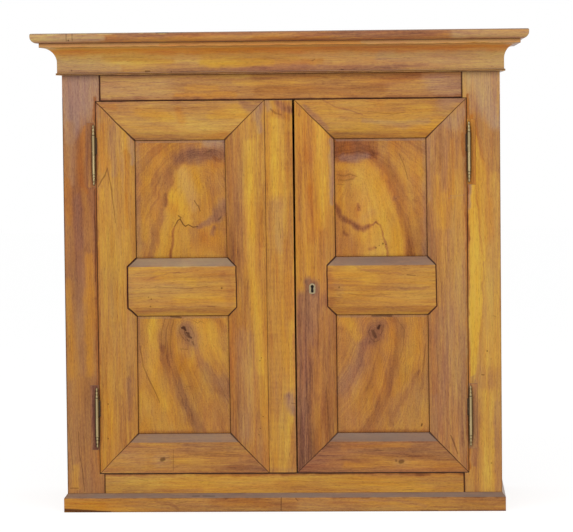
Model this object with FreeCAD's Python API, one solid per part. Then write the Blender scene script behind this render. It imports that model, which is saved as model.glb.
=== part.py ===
import FreeCAD, Part
import math
import os

# Kas cupboard in walnut: a case of stiles, rails and panels, two framed doors on pin
# hinges, a mitred plinth and a moulded cornice. Millimetres; +Z is up, +X is to the
# right and the front faces -Y. The origin is on the floor, under the middle of the
# whole object. Every piece is one solid, and like boards or fittings share a node.

# ---------------------------------------------------------------- driving dimensions
# Case
body_width = 1050.0
body_depth = 450.0
plinth_height = 45.0
body_top = 1056.0
total_height = 1155.0
front_thickness = 40.0
front_stile_width = 91.0
side_thickness = 28.0
side_stile_width = 93.5
rebate_width = 12.0
rebate_depth = 25.5
tenon_length = 30.0
tenon_thickness = 10.0
tenon_inset = 10.0
tenon_setback = 2.5
back_tenon_length = 18.0

# Doors
door_thickness = 25.0
door_bottom = 94.0
door_top = 991.5
door_edge = 444.5
door_gap = 1.5
door_mortise_inset = 20.0
right_door_inner = 33.3
strip_left_bottom = -36.1
strip_left_top = -39.4
strip_right_bottom = 30.4
strip_right_top = 27.8
strip_tongue = 8.0
strip_tongue_inset = 15.0
strip_mortise_depth = 14.0
strip_mortise_clearance = 1.0

# Panels, their openings and the chamfer round them
lower_panel_bottom = 188.2
lower_panel_top = 474.8
upper_panel_bottom = 613.3
upper_panel_top = 898.5
left_door_panel_left = (-352.9, -352.9)
left_door_panel_right = (-127.6, -134.3)
right_door_panel_left = (129.2, 126.3)
right_door_panel_right = (352.3, 348.7)
chamfer_width = 20.0
chamfer_depth = 9.0
groove_front = 12.0
groove_back = 19.0
groove_depth = 9.0
panel_tongue = 8.0
panel_clearance = 0.4
panel_bevel = 7.0
panel_field = 9.5
joint_slack = 0.1

# Cornice
cornice_projection = 68.0
crown_thickness = 23.0
crown_board_width = 104.0
crown_ovolo = 15.5
crown_edge_radius = 3.4
crown_ledge = 12.0
moulding_reach = 80.0
moulding_inside = 200.0
cove_back = 16.0
cove_lip_projection = 13.0
cove_lip_height = 5.0
cove_wall_projection = 10.2
cove_wall_height = 29.8
cove_radius = 36.0
fillet_projection = 48.5
fillet_height = 10.2

# Plinth
plinth_projection = 8.5
plinth_thickness = 30.0
plinth_chamfer = 11.0
plinth_chamfer_top = 0.3

# Boards
back_board_thickness = 15.0
back_board_slack = 1.0
back_board_count = 5
back_rail_thickness = 22.0
back_rail_height = 70.0
top_board_thickness = 14.0
top_board_count = 4
floor_board_thickness = 20.0
floor_board_count = 3
ceiling_drop = 2.0
board_gap = 0.6
shelf_thickness = 20.0
shelf_tops = (415.0, 725.0)
shelf_setback = 70.0
shelf_clearance = 1.0
cleat_width = 20.0
cleat_height = 25.0

# Hinges
hinge_heights = (229.5, 863.5)
hinge_outside_door = 6.0
hinge_proud = 5.2
hinge_radius = 4.5
hinge_knuckle = 44.0
hinge_seam = 0.3
hinge_pin_radius = 2.5
hinge_pin_clearance = 0.05
hinge_pin_length = 34.0
hinge_leaf_thickness = 1.8
hinge_leaf_length = 34.0
hinge_leaf_height = 40.0
hinge_leaf_angle = 38.0
finial_length = 29.5
finial_ring_radius = 4.8
patch_width = 20.5
patch_height = 156.0
patch_depth = 8.0

# Lock and keyhole
keyhole_x = 72.3
keyhole_z = 543.1
keyhole_radius = 3.9
keyhole_neck = 2.35
keyhole_foot = 3.2
keyhole_drop = 14.7
liner_radius = 7.75
liner_drop = 17.4
liner_corner = 5.0
liner_depth = 5.0
liner_proud = 0.4
keyhole_overcut = 2.0
lock_length = 59.7
lock_height = 70.0
lock_centre_z = 540.0
lock_front = 11.5
lock_wall = 2.0
selvedge_height = 80.0
selvedge_front = 9.0
lock_bolt_z = 558.0
lock_bolt_height = 12.0
lock_bolt_front = 14.0
lock_bolt_thickness = 6.0
lock_bolt_length = 50.0
lock_bolt_rest_gap = 0.3
lock_bolt_notch_width = 10.0
lock_bolt_notch_depth = 4.0
lock_post_radius = 1.8
running_gap = 0.3

# Bolts on the back of the left door
bolt_x = -5.0
bolt_width = 12.0
bolt_thickness = 5.0
bolt_length = 150.0
bolt_rest_gap = 3.0
bolt_throw = 14.0
bolt_hole_end = 3.0
bolt_knob_radius = 6.0
bolt_knob_length = 13.5
guide_length = 130.0
guide_width = 22.0
guide_plate = 2.2
guide_strap_width = 8.0
guide_strap_wall = 3.0
guide_strap_inset = 11.0
keeper_length = 40.0
keeper_thickness = 3.0
keeper_front = 26.2
keeper_depth = 9.8

# ---------------------------------------------------------------- worked-out places
half_width = body_width / 2
whole_depth = body_depth + cornice_projection
back = whole_depth / 2
face = back - body_depth
case_opening = half_width - front_stile_width
rebate_wall = door_edge + door_gap
rebate_top = door_top + door_gap
rebate_bottom = door_bottom - door_gap
opening_top = rebate_top - rebate_width
opening_bottom = rebate_bottom + rebate_width
inner_side = half_width - side_thickness
back_rebate = back - back_board_thickness - back_board_slack
back_rail_front = back_rebate - back_rail_thickness
crown_bottom = total_height - crown_thickness
crown_inside = cornice_projection - crown_board_width
top_board_bottom = total_height - top_board_thickness
hinge_x = door_edge + hinge_outside_door
hinge_y = face - hinge_proud
door_back = face + door_thickness
hinge_leaf_start = hinge_radius - 1.0


# ---------------------------------------------------------------- helpers
def point(x, y, z):
    return FreeCAD.Vector(x, y, z)


def box(x0, x1, y0, y1, z0, z1):
    return Part.makeBox(x1 - x0, y1 - y0, z1 - z0, point(x0, y0, z0))


def slab(outline, y0, y1):
    """An outline of (x, z) points, from y0 back to y1."""
    corners = [point(x, y0, z) for x, z in outline]
    wire = Part.makePolygon(corners + corners[:1])
    return Part.Face(wire).extrude(point(0, y1 - y0, 0))


def plan(outline, z0, z1):
    """An outline of (x, y) points, from z0 up to z1."""
    corners = [point(x, y, z0) for x, y in outline]
    wire = Part.makePolygon(corners + corners[:1])
    return Part.Face(wire).extrude(point(0, 0, z1 - z0))


def line(a, b):
    return Part.makeLine(point(*a), point(*b))


def arc(a, middle, b):
    return Part.Arc(point(*a), point(*middle), point(*b)).toShape()


def cylinder_y(x, z, radius, y0, y1):
    return Part.makeCylinder(radius, y1 - y0, point(x, y0, z), point(0, 1, 0))


def mirrored(shape):
    return shape.mirror(point(0, 0, 0), point(1, 0, 0))


def save(node, *solids):
    shape = solids[0] if len(solids) == 1 else Part.makeCompound(list(solids))
    shape.exportStep(os.path.join("parts", node + ".step"))


# ---------------------------------------------------------------- framed leaves
# A door and a side of the case are built alike: two stiles, three rails and two
# fielded panels, seen flat in X and Z with the outside face at y = 0.
def edge_at(edge, z):
    """Where a panel's edge, given at the panels' bottom and top heights, is at z."""
    low, high = edge
    return low + (high - low) * (z - lower_panel_bottom) / (upper_panel_top - lower_panel_bottom)


def grown(quad, d):
    """A quad from its lower left corner round, with each corner moved outwards by d."""
    (a, b, c, e) = quad
    low = [(a[0] - d, a[1] - d), (b[0] + d, b[1] - d)]
    return low + [(c[0] + d, c[1] + d), (e[0] - d, e[1] + d)]


def panel_quad(left, right, z0, z1):
    low = [(edge_at(left, z0), z0), (edge_at(right, z0), z0)]
    return low + [(edge_at(right, z1), z1), (edge_at(left, z1), z1)]


def funnel(outer, inner, y0, y1):
    """A solid between the quad outer at y0 and the quad inner at y1."""
    wires = []
    for quad, y in ((outer, y0), (inner, y1)):
        corners = [point(x, y, z) for x, z in quad]
        wires.append(Part.makePolygon(corners + corners[:1]))
    return Part.makeLoft(wires, True, True)


def leaf_blank(outline, quads, thickness):
    """The whole frame before it is parted: openings, chamfers and panel grooves."""
    blank = slab(outline, 0, thickness)
    for quad in quads:
        blank = blank.cut(slab(quad, -1, thickness + 1))
        blank = blank.cut(funnel(grown(quad, chamfer_width), quad, 0, chamfer_depth))
        blank = blank.cut(slab(grown(quad, groove_depth), groove_front, groove_back))
    return blank


def fielded_panel(quad):
    """A panel with a tongue for the groove, and a narrow bevel round its field."""
    tongue = slab(grown(quad, panel_tongue), groove_front + joint_slack, groove_back - joint_slack)
    foot = grown(quad, -panel_clearance)
    bevel = funnel(foot, grown(foot, -panel_bevel), groove_front + joint_slack, panel_field)
    return tongue.fuse(bevel).removeSplitter()


def tenon(x0, x1, z0, z1):
    return box(x0, x1, groove_front, groove_back, z0, z1)


def leaf_outlines(corners, low, up, mitred):
    """The outline of each of the five frame pieces."""
    a, b, c, d = corners
    w = chamfer_width
    l0, l1, l2, l3 = low
    u0, u1, u2, u3 = up
    out_l0, out_l1, out_l2, out_l3 = grown(low, w)
    out_u0, out_u1, out_u2, out_u3 = grown(up, w)
    middle = [out_l3, l3, l2, out_l2, out_u1, u1, u0, out_u0]
    left_run = [u3, u0, out_u0, out_l3, l3, l0]
    right_run = [l1, l2, out_l2, out_u1, u1, u2]
    if mitred:
        return {
            "left_stile": [a, d] + left_run,
            "right_stile": right_run + [c, b],
            "top_rail": [d, c, u2, u3],
            "middle_rail": middle,
            "bottom_rail": [a, b, l1, l0],
        }
    low_left = (out_l0[0], a[1])
    low_right = (out_l1[0], b[1])
    high_left = (out_u3[0], d[1])
    high_right = (out_u2[0], c[1])
    return {
        "left_stile": [a, d, high_left, out_u3] + left_run + [out_l0, low_left],
        "right_stile": [low_right, out_l1] + right_run + [out_u2, high_right, c, b],
        "top_rail": [high_left, high_right, out_u2, u2, u3, out_u3],
        "middle_rail": middle,
        "bottom_rail": [low_left, low_right, out_l1, l1, l0, out_l0],
    }


def leaf_tenons(corners, low, up, mitred):
    """Each rail's pair of tenons, left then right."""
    a, b, c, d = corners
    w = chamfer_width
    reach = tenon_length
    middle_z = (low[3][1] + w + tenon_inset, up[0][1] - w - tenon_inset)
    top_z = (up[3][1] + tenon_inset, d[1] - tenon_inset)
    bottom_z = (a[1] + tenon_inset, low[0][1] - tenon_inset)
    if mitred:
        inset = door_mortise_inset
        top = [tenon(d[0] + inset, up[3][0], *top_z), tenon(up[2][0], c[0] - inset, *top_z)]
        bottom = [tenon(a[0] + inset, low[0][0], *bottom_z), tenon(low[1][0], b[0] - inset, *bottom_z)]
    else:
        top_z = (up[3][1] + w + tenon_inset, d[1] - tenon_inset)
        bottom_z = (a[1] + tenon_inset, low[0][1] - w - tenon_inset)
        top = [tenon(up[3][0] - w - reach, up[3][0] - w, *top_z)]
        top.append(tenon(up[2][0] + w, up[2][0] + w + reach, *top_z))
        bottom = [tenon(low[0][0] - w - reach, low[0][0] - w, *bottom_z)]
        bottom.append(tenon(low[1][0] + w, low[1][0] + w + reach, *bottom_z))
    middle = [tenon(low[3][0] - w - reach, low[3][0], *middle_z)]
    middle.append(tenon(low[2][0], low[2][0] + w + reach, *middle_z))
    return {"top_rail": top, "middle_rail": middle, "bottom_rail": bottom}


def framed_leaf(corners, left, right, thickness, mitred):
    """The seven pieces of a framed leaf, by name."""
    low = panel_quad(left, right, lower_panel_bottom, lower_panel_top)
    up = panel_quad(left, right, upper_panel_bottom, upper_panel_top)
    blank = leaf_blank(corners, (low, up), thickness)
    outlines = leaf_outlines(corners, low, up, mitred)
    pieces = {name: blank.common(slab(outline, 0, thickness)) for name, outline in outlines.items()}
    for rail, (left_tenon, right_tenon) in leaf_tenons(corners, low, up, mitred).items():
        for stile, tongue in (("left_stile", left_tenon), ("right_stile", right_tenon)):
            own = tongue.cut(pieces[rail])
            pieces[stile] = pieces[stile].cut(tongue)
            pieces[rail] = pieces[rail].fuse(own)
        pieces[rail] = pieces[rail].removeSplitter()
    pieces["lower_panel"] = fielded_panel(low)
    pieces["upper_panel"] = fielded_panel(up)
    return pieces


# ---------------------------------------------------------------- hinges
# A pin hinge has its lower knuckle and pin on the case and its upper knuckle on the
# door, so the door lifts off. Made for the left door, and mirrored for the right.
def finial():
    """The turned end of a hinge, standing on z = 0: a ring, two bulbs and a tip."""
    ring = finial_ring_radius
    s = finial_length / 29.5
    profile = [
        line((0, 0, 0), (ring, 0, 0)),
        line((ring, 0, 0), (ring, 0, 2.4 * s)),
        line((ring, 0, 2.4 * s), (2.8, 0, 2.4 * s)),
        arc((2.8, 0, 2.4 * s), (4.2, 0, 7.0 * s), (2.6, 0, 11.5 * s)),
        arc((2.6, 0, 11.5 * s), (3.6, 0, 15.5 * s), (1.8, 0, 20.5 * s)),
        arc((1.8, 0, 20.5 * s), (2.8, 0, 24.0 * s), (1.4, 0, 28.3 * s)),
        line((1.4, 0, 28.3 * s), (0, 0, 29.5 * s)),
        line((0, 0, 29.5 * s), (0, 0, 0)),
    ]
    return Part.Face(Part.Wire(profile)).revolve(point(0, 0, 0), point(0, 0, 1), 360)


def hinge_leaf(angle, z0, z1):
    """A flat leaf let into the wood, running back from the barrel at an angle to +X."""
    leaf = Part.makeBox(
        hinge_leaf_length - hinge_leaf_start,
        hinge_leaf_thickness,
        z1 - z0,
        point(hinge_leaf_start, -hinge_leaf_thickness / 2, z0),
    )
    leaf.rotate(point(0, 0, 0), point(0, 0, 1), angle)
    leaf.translate(point(-hinge_x, hinge_y, 0))
    return leaf


def case_leaf(height):
    top = height - (hinge_knuckle - hinge_leaf_height) / 2
    return hinge_leaf(90.0, top - hinge_leaf_height, top)


def door_leaf(height):
    bottom = height + (hinge_knuckle - hinge_leaf_height) / 2
    return hinge_leaf(hinge_leaf_angle, bottom, bottom + hinge_leaf_height)


def case_half(height):
    """Lower knuckle with its finial, leaf and pin."""
    axis = point(-hinge_x, hinge_y, 0)
    knuckle = Part.makeCylinder(hinge_radius, hinge_knuckle, axis + point(0, 0, height - hinge_knuckle))
    pin = Part.makeCylinder(hinge_pin_radius, hinge_pin_length, axis + point(0, 0, height))
    end = finial()
    end.rotate(point(0, 0, 0), point(1, 0, 0), 180)
    end.translate(axis + point(0, 0, height - hinge_knuckle))
    return knuckle.fuse([pin, end, case_leaf(height)]).removeSplitter()


def door_half(height):
    """Upper knuckle with its finial and leaf, bored for the pin."""
    axis = point(-hinge_x, hinge_y, 0)
    base = height + hinge_seam
    knuckle = Part.makeCylinder(hinge_radius, hinge_knuckle, axis + point(0, 0, base))
    end = finial()
    end.translate(axis + point(0, 0, base + hinge_knuckle))
    bore_radius = hinge_pin_radius + hinge_pin_clearance
    bore = Part.makeCylinder(bore_radius, hinge_pin_length + 2.0, axis + point(0, 0, base))
    return knuckle.fuse([end, door_leaf(height)]).cut(bore).removeSplitter()


def patch(height):
    """A walnut patch let into the front stile beside a hinge, slotted for its leaf."""
    return patch_recess(height).cut(case_leaf(height))


def patch_recess(height):
    z0 = height - patch_height / 2
    return box(-rebate_wall - patch_width, -rebate_wall, face, face + patch_depth, z0, z0 + patch_height)


# ---------------------------------------------------------------- front of the case
def front_rail(z0, z1, rebate_z0, rebate_z1):
    """A rail between the front stiles, rebated for the doors, with a tenon each end."""
    rail = box(-case_opening, case_opening, face, face + front_thickness, z0, z1)
    rail = rail.cut(box(-case_opening, case_opening, face, face + rebate_depth, rebate_z0, rebate_z1))
    for tongue in front_tenons(z0, z1):
        rail = rail.fuse(tongue)
    return rail.removeSplitter()


def front_tenons(z0, z1):
    y0 = face + rebate_depth + tenon_setback
    z = (z0 + tenon_inset, z1 - tenon_inset)
    right = box(case_opening, case_opening + tenon_length, y0, y0 + tenon_thickness, *z)
    return [mirrored(right), right]


def front_stile():
    """The left front stile, with its door rebate, mortises and hinge recesses."""
    stile = box(-half_width, -case_opening, face, face + front_thickness, plinth_height, body_top)
    rebate = box(-rebate_wall, -case_opening, face, face + rebate_depth, rebate_bottom, rebate_top)
    cuts = [rebate]
    cuts.append(front_tenons(opening_top, body_top)[0])
    cuts.append(front_tenons(plinth_height, opening_bottom)[0])
    for height in hinge_heights:
        cuts.append(patch_recess(height))
        cuts.append(case_leaf(height))
    return stile.cut(cuts)


def bolt_hole(z0, z1):
    """The passage for a bolt's end, in a keeper and in the rail behind it."""
    reach = bolt_width / 2 + 2 * running_gap
    y0 = door_back + guide_plate
    y1 = y0 + 2 * running_gap + bolt_thickness + running_gap
    return box(bolt_x - reach, bolt_x + reach, y0 - running_gap, y1, z0, z1)


def keeper(z0):
    """An iron plate let into a rail's edge, pierced for a bolt."""
    return keeper_recess(z0).cut(bolt_hole(z0, z0 + keeper_thickness))


def keeper_recess(z0):
    x = keeper_length / 2
    y0 = face + keeper_front
    return box(bolt_x - x, bolt_x + x, y0, y0 + keeper_depth, z0, z0 + keeper_thickness)


def build_front():
    stile = front_stile()
    save("left_front_stile", stile)
    save("right_front_stile", mirrored(stile))

    hole_depth = bolt_throw + bolt_hole_end
    top_keeper = opening_top
    bottom_keeper = opening_bottom - keeper_thickness
    frieze = front_rail(opening_top, body_top, opening_top, rebate_top)
    frieze = frieze.cut(keeper_recess(top_keeper))
    save("frieze_rail", frieze.cut(bolt_hole(opening_top, opening_top + hole_depth)))
    bottom = front_rail(plinth_height, opening_bottom, rebate_bottom, opening_bottom)
    bottom = bottom.cut(keeper_recess(bottom_keeper))
    save("front_bottom_rail", bottom.cut(bolt_hole(opening_bottom - hole_depth, opening_bottom)))
    save("bolt_keepers", keeper(top_keeper), keeper(bottom_keeper))

    patches = [patch(height) for height in hinge_heights]
    save("hinge_patches", *patches, *[mirrored(p) for p in patches])
    halves = [case_half(height) for height in hinge_heights]
    save("case_hinge_halves", *halves, *[mirrored(h) for h in halves])


# ---------------------------------------------------------------- sides of the case
def placed_on_side(shape, side):
    """Turns a flat leaf so that its outside faces left (side -1) or right (side 1)."""
    turned = shape.copy()
    turned.rotate(point(0, 0, 0), point(0, 0, 1), 90.0 * side)
    turned.translate(point(half_width * side, 0, 0))
    return turned


def build_side(name, side):
    near = (face + front_thickness) * side
    far = back * side
    near_panel = (face + side_stile_width) * side
    far_panel = (back - side_stile_width) * side
    x0, x1 = sorted((near, far))
    p0, p1 = sorted((near_panel, far_panel))
    corners = [(x0, plinth_height), (x1, plinth_height), (x1, body_top), (x0, body_top)]
    pieces = framed_leaf(corners, (p0, p0), (p1, p1), side_thickness, False)
    pieces = {key: placed_on_side(shape, side) for key, shape in pieces.items()}
    front_key, back_key = ("right_stile", "left_stile") if side < 0 else ("left_stile", "right_stile")
    rebate = box(inner_side, inner_side + rebate_width, back_rebate, back, plinth_height, body_top)
    rebate_side = mirrored(rebate) if side < 0 else rebate
    mortises = [back_rail_tenon(z, side) for z in back_rail_levels()]
    save(name + "_side_front_stile", pieces[front_key])
    save(name + "_side_back_stile", pieces[back_key].cut([rebate_side] + mortises))
    for key in ("top_rail", "middle_rail", "bottom_rail", "upper_panel", "lower_panel"):
        save(name + "_side_" + key, pieces[key])


# ---------------------------------------------------------------- boards and shelves
def back_rail_levels():
    return (plinth_height, body_top - back_rail_height)


def back_rail_tenon(z, side):
    y = back_rail_front + (back_rail_thickness - tenon_thickness) / 2
    heights = (z + tenon_inset, z + back_rail_height - tenon_inset)
    tongue = box(inner_side, inner_side + back_tenon_length, y, y + tenon_thickness, *heights)
    return mirrored(tongue) if side < 0 else tongue


def boards_across(count, x0, x1, y0, y1, z0, z1):
    """Boards that run along X, side by side from front to back."""
    step = (y1 - y0) / count
    return [box(x0, x1, y0 + i * step, y0 + (i + 1) * step - board_gap, z0, z1) for i in range(count)]


def back_uprights():
    """The back boards, up to the top boards, notched for the ends of the crown."""
    reach = inner_side + rebate_width
    step = 2 * reach / back_board_count
    front = back - back_board_thickness
    crown_end = box(half_width + crown_inside, half_width, front, back, crown_bottom, total_height)
    uprights = []
    for i in range(back_board_count):
        x0 = -reach + i * step
        board = box(x0, x0 + step - board_gap, front, back, plinth_height, top_board_bottom)
        uprights.append(board.cut([crown_end, mirrored(crown_end)]))
    return uprights


def build_boards():
    rails = []
    for z in back_rail_levels():
        rail = box(-inner_side, inner_side, back_rail_front, back_rebate, z, z + back_rail_height)
        rails.append(rail.fuse([back_rail_tenon(z, -1), back_rail_tenon(z, 1)]).removeSplitter())
    save("back_rails", *rails)

    save("back_boards", *back_uprights())

    inside = (-inner_side, inner_side, face + front_thickness, back_rail_front)
    floor_z = opening_bottom - floor_board_thickness
    ceiling_z = body_top - ceiling_drop - floor_board_thickness
    save("bottom_boards", *boards_across(floor_board_count, *inside, floor_z, opening_bottom))
    save("ceiling_boards", *boards_across(floor_board_count, *inside, ceiling_z, body_top - ceiling_drop))

    shelf_front = face + shelf_setback
    lower, upper = shelf_tops
    shelf_end = inner_side - shelf_clearance
    span = (-shelf_end, shelf_end, shelf_front, back_rail_front - shelf_clearance)
    save("shelves", *[box(*span, top - shelf_thickness, top) for top in shelf_tops])

    cleats = []
    for z in (floor_z, lower - shelf_thickness, upper - shelf_thickness, ceiling_z):
        right = box(inner_side - cleat_width, inner_side, shelf_front, back_rail_front, z - cleat_height, z)
        cleats += [mirrored(right), right]
    save("shelf_cleats", *cleats)


# ---------------------------------------------------------------- plinth and cornice
# A moulding's section is drawn as (projection from the case, height), in a face at
# x = 0 for the front, and cut at 45 degrees where it turns the corner.
def front_length(section):
    """Sweeps a section along the front and cuts both mitres."""
    outer = half_width + moulding_reach
    inner = half_width - moulding_inside
    bar = section.extrude(point(2 * outer, 0, 0))
    bar.translate(point(-outer, face, 0))
    corners = [(-outer, face - moulding_reach), (outer, face - moulding_reach)]
    corners += [(inner, face + moulding_inside), (-inner, face + moulding_inside)]
    return bar.common(plan(corners, -1, total_height + 1))


def side_length(section):
    """Sweeps a section along the left side, from the mitre to the back."""
    outer = half_width + moulding_reach
    inner = half_width - moulding_inside
    front = face - moulding_reach
    bar = section.copy()
    bar.rotate(point(0, 0, 0), point(0, 0, 1), -90)
    bar = bar.extrude(point(0, back - front, 0))
    bar.translate(point(-half_width, front, 0))
    corners = [(-outer, front), (-inner, face + moulding_inside), (-inner, back), (-outer, back)]
    return bar.common(plan(corners, -1, total_height + 1))


def section(edges):
    return Part.Face(Part.Wire(edges))


def straight(points):
    """Lines through (projection, height) points, in order."""
    spots = [(0, -p, z) for p, z in points]
    return [line(a, b) for a, b in zip(spots, spots[1:])]


def bend(start, middle, end):
    return arc(*[(0, -p, z) for p, z in (start, middle, end)])


def plinth_section():
    shoulder = plinth_height - plinth_chamfer
    points = [(-plinth_thickness, 0), (plinth_projection, 0), (plinth_projection, shoulder)]
    points += [(plinth_chamfer_top, plinth_height), (-plinth_thickness, plinth_height), (-plinth_thickness, 0)]
    return section(straight(points))


def cove_section():
    """Lip, upright wall, hollow and fillet."""
    diagonal = cove_radius * math.sqrt(0.5)
    z_lip = body_top + cove_lip_height
    z_wall = body_top + cove_wall_height
    centre = (cove_wall_projection + cove_radius, z_wall)
    z_fillet = crown_bottom - fillet_height
    hollow_start = (cove_wall_projection, z_wall)
    hollow_middle = (centre[0] - diagonal, centre[1] + diagonal)
    hollow_end = (centre[0], z_wall + cove_radius)
    edges = straight(
        [
            (-cove_back, crown_bottom),
            (-cove_back, body_top),
            (cove_lip_projection, body_top),
            (cove_lip_projection, z_lip),
            (cove_wall_projection, z_lip),
            hollow_start,
        ]
    )
    edges.append(bend(hollow_start, hollow_middle, hollow_end))
    edges += straight([hollow_end, (fillet_projection, z_fillet), (fillet_projection, crown_bottom)])
    edges += straight([(fillet_projection, crown_bottom), (-cove_back, crown_bottom)])
    return section(edges)


def crown_section():
    """A board with an ovolo under its nose, and a ledge inside for the top boards."""
    inner = crown_inside
    ledge_z = top_board_bottom
    nose = cornice_projection
    start = (nose - crown_ovolo, crown_bottom)
    swell = crown_ovolo * math.sqrt(0.5)
    middle = (start[0] + swell, crown_bottom + crown_ovolo - swell)
    end = (nose, crown_bottom + crown_ovolo)
    r = crown_edge_radius
    top_start = (nose, total_height - r)
    top_middle = (nose - r + r * math.sqrt(0.5), total_height - r + r * math.sqrt(0.5))
    top_end = (nose - r, total_height)
    edges = straight([(inner, crown_bottom), start])
    edges.append(bend(start, middle, end))
    edges += straight([end, top_start])
    edges.append(bend(top_start, top_middle, top_end))
    edges += straight(
        [
            top_end,
            (inner + crown_ledge, total_height),
            (inner + crown_ledge, ledge_z),
            (inner, ledge_z),
            (inner, crown_bottom),
        ]
    )
    return section(edges)


def build_mouldings():
    profiles = {"plinth": plinth_section(), "cove": cove_section(), "crown": crown_section()}
    for name, profile in profiles.items():
        side = side_length(profile)
        save(name + "_front", front_length(profile))
        save(name + "_left", side)
        save(name + "_right", mirrored(side))
    ledge = -crown_inside - crown_ledge
    x = half_width - ledge
    z = (top_board_bottom, total_height)
    save("top_boards", *boards_across(top_board_count, -x, x, face + ledge, back + board_gap, *z))


# ---------------------------------------------------------------- doors
def door_strip():
    """The closing strip, with a tongue along its left edge for the meeting stile."""
    outline = [
        (strip_left_bottom, door_bottom),
        (strip_right_bottom, door_bottom),
        (strip_right_top, door_top),
        (strip_left_top, door_top),
    ]
    strip = slab(outline, face, door_back)
    strip = strip.fuse(strip_tongue_solid()).removeSplitter()
    spare = strip_mortise_clearance
    z = (lock_bolt_z - lock_bolt_height / 2 - spare, lock_bolt_z + lock_bolt_height / 2 + spare)
    y = (face + lock_bolt_front - spare, face + lock_bolt_front + lock_bolt_thickness + spare)
    return strip.cut(box(strip_right_top - strip_mortise_depth, strip_right_bottom + spare, *y, *z))


def strip_tongue_solid():
    outline = [
        (strip_left_bottom - strip_tongue, door_bottom + strip_tongue_inset),
        (strip_left_bottom, door_bottom + strip_tongue_inset),
        (strip_left_top, door_top - strip_tongue_inset),
        (strip_left_top - strip_tongue, door_top - strip_tongue_inset),
    ]
    return slab(outline, face + groove_front, face + groove_back)


def build_left_door():
    corners = [
        (-door_edge, door_bottom),
        (strip_left_bottom, door_bottom),
        (strip_left_top, door_top),
        (-door_edge, door_top),
    ]
    pieces = framed_leaf(corners, left_door_panel_left, left_door_panel_right, door_thickness, True)
    for shape in pieces.values():
        shape.translate(point(0, face, 0))
    pieces["left_stile"] = pieces["left_stile"].cut([door_leaf(height) for height in hinge_heights])
    tongue = strip_tongue_solid()
    pieces["right_stile"] = pieces["right_stile"].cut(tongue)
    save("left_door_hinge_stile", pieces["left_stile"])
    save("left_door_meeting_stile", pieces["right_stile"])
    for key in ("top_rail", "middle_rail", "bottom_rail", "upper_panel", "lower_panel"):
        save("left_door_" + key, pieces[key].cut(tongue))
    save("closing_strip", door_strip())
    save("left_door_hinge_halves", *[door_half(height) for height in hinge_heights])


def build_right_door():
    corners = [
        (right_door_inner, door_bottom),
        (door_edge, door_bottom),
        (door_edge, door_top),
        (right_door_inner, door_top),
    ]
    pieces = framed_leaf(corners, right_door_panel_left, right_door_panel_right, door_thickness, True)
    for shape in pieces.values():
        shape.translate(point(0, face, 0))
    leaves = [mirrored(door_leaf(height)) for height in hinge_heights]
    pieces["right_stile"] = pieces["right_stile"].cut(leaves)
    pieces["left_stile"] = pieces["left_stile"].cut([lock_block(), keyhole(door_back), liner_block()])
    save("right_door_hinge_stile", pieces["right_stile"])
    save("right_door_meeting_stile", pieces["left_stile"])
    for key in ("top_rail", "middle_rail", "bottom_rail", "upper_panel", "lower_panel"):
        save("right_door_" + key, pieces[key].cut(lock_block()))
    save("right_door_hinge_halves", *[mirrored(door_half(height)) for height in hinge_heights])
    save("lock_case", lock_case())
    save("escutcheon", liner_block().cut(keyhole(door_back)))
    save("lock_bolt", lock_bolt())


# ---------------------------------------------------------------- lock
def keyhole(y1):
    """The hole for the key: round above, with a flared slot and a rounded foot below."""
    y0 = face - keyhole_overcut
    eye = cylinder_y(keyhole_x, keyhole_z, keyhole_radius, y0, y1)
    foot_z = keyhole_z - keyhole_drop + keyhole_foot
    outline = [
        (keyhole_x - keyhole_foot, foot_z),
        (keyhole_x + keyhole_foot, foot_z),
        (keyhole_x + keyhole_neck, keyhole_z),
        (keyhole_x - keyhole_neck, keyhole_z),
    ]
    foot = cylinder_y(keyhole_x, foot_z, keyhole_foot, y0, y1)
    return eye.fuse([slab(outline, y0, y1), foot]).removeSplitter()


def liner_block():
    """The outside of the brass liner: an arched plate let into the stile's face."""
    y0 = face - liner_proud
    y1 = face + liner_depth
    r = liner_radius
    bottom = keyhole_z - liner_drop
    arch = cylinder_y(keyhole_x, keyhole_z, r, y0, y1)
    shank = box(keyhole_x - r, keyhole_x + r, y0, y1, bottom + liner_corner, keyhole_z)
    foot_x = (keyhole_x - r + liner_corner, keyhole_x + r - liner_corner)
    foot = box(*foot_x, y0, y1, bottom, bottom + liner_corner)
    corners = [
        cylinder_y(keyhole_x + side * (r - liner_corner), bottom + liner_corner, liner_corner, y0, y1)
        for side in (-1, 1)
    ]
    return arch.fuse([shank, foot] + corners).removeSplitter()


def selvedge():
    z = (lock_centre_z - selvedge_height / 2, lock_centre_z + selvedge_height / 2)
    return box(right_door_inner, right_door_inner + lock_wall, face + selvedge_front, door_back, *z)


def lock_block():
    """The lock's outside, as the stile is cut for it."""
    x0 = right_door_inner + lock_wall
    z = (lock_centre_z - lock_height / 2, lock_centre_z + lock_height / 2)
    return box(x0, x0 + lock_length, face + lock_front, door_back, *z).fuse(selvedge())


def lock_case():
    """An iron case open towards the wood, with a post for the key and a bolt slot."""
    x0 = right_door_inner + 2 * lock_wall
    x1 = right_door_inner + lock_length
    z0 = lock_centre_z - lock_height / 2 + lock_wall
    z1 = lock_centre_z + lock_height / 2 - lock_wall
    case = lock_block().cut(box(x0, x1, face + lock_front, door_back - lock_wall, z0, z1))
    gap = running_gap
    slot_z = (lock_bolt_z - lock_bolt_height / 2 - gap, lock_bolt_z + lock_bolt_height / 2 + gap)
    slot_y = (face + lock_bolt_front - gap, face + lock_bolt_front + lock_bolt_thickness + gap)
    case = case.cut(box(right_door_inner, x0, *slot_y, *slot_z))
    post = cylinder_y(keyhole_x, keyhole_z, lock_post_radius, face + lock_front, door_back - lock_wall)
    return case.fuse(post).removeSplitter()


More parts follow.
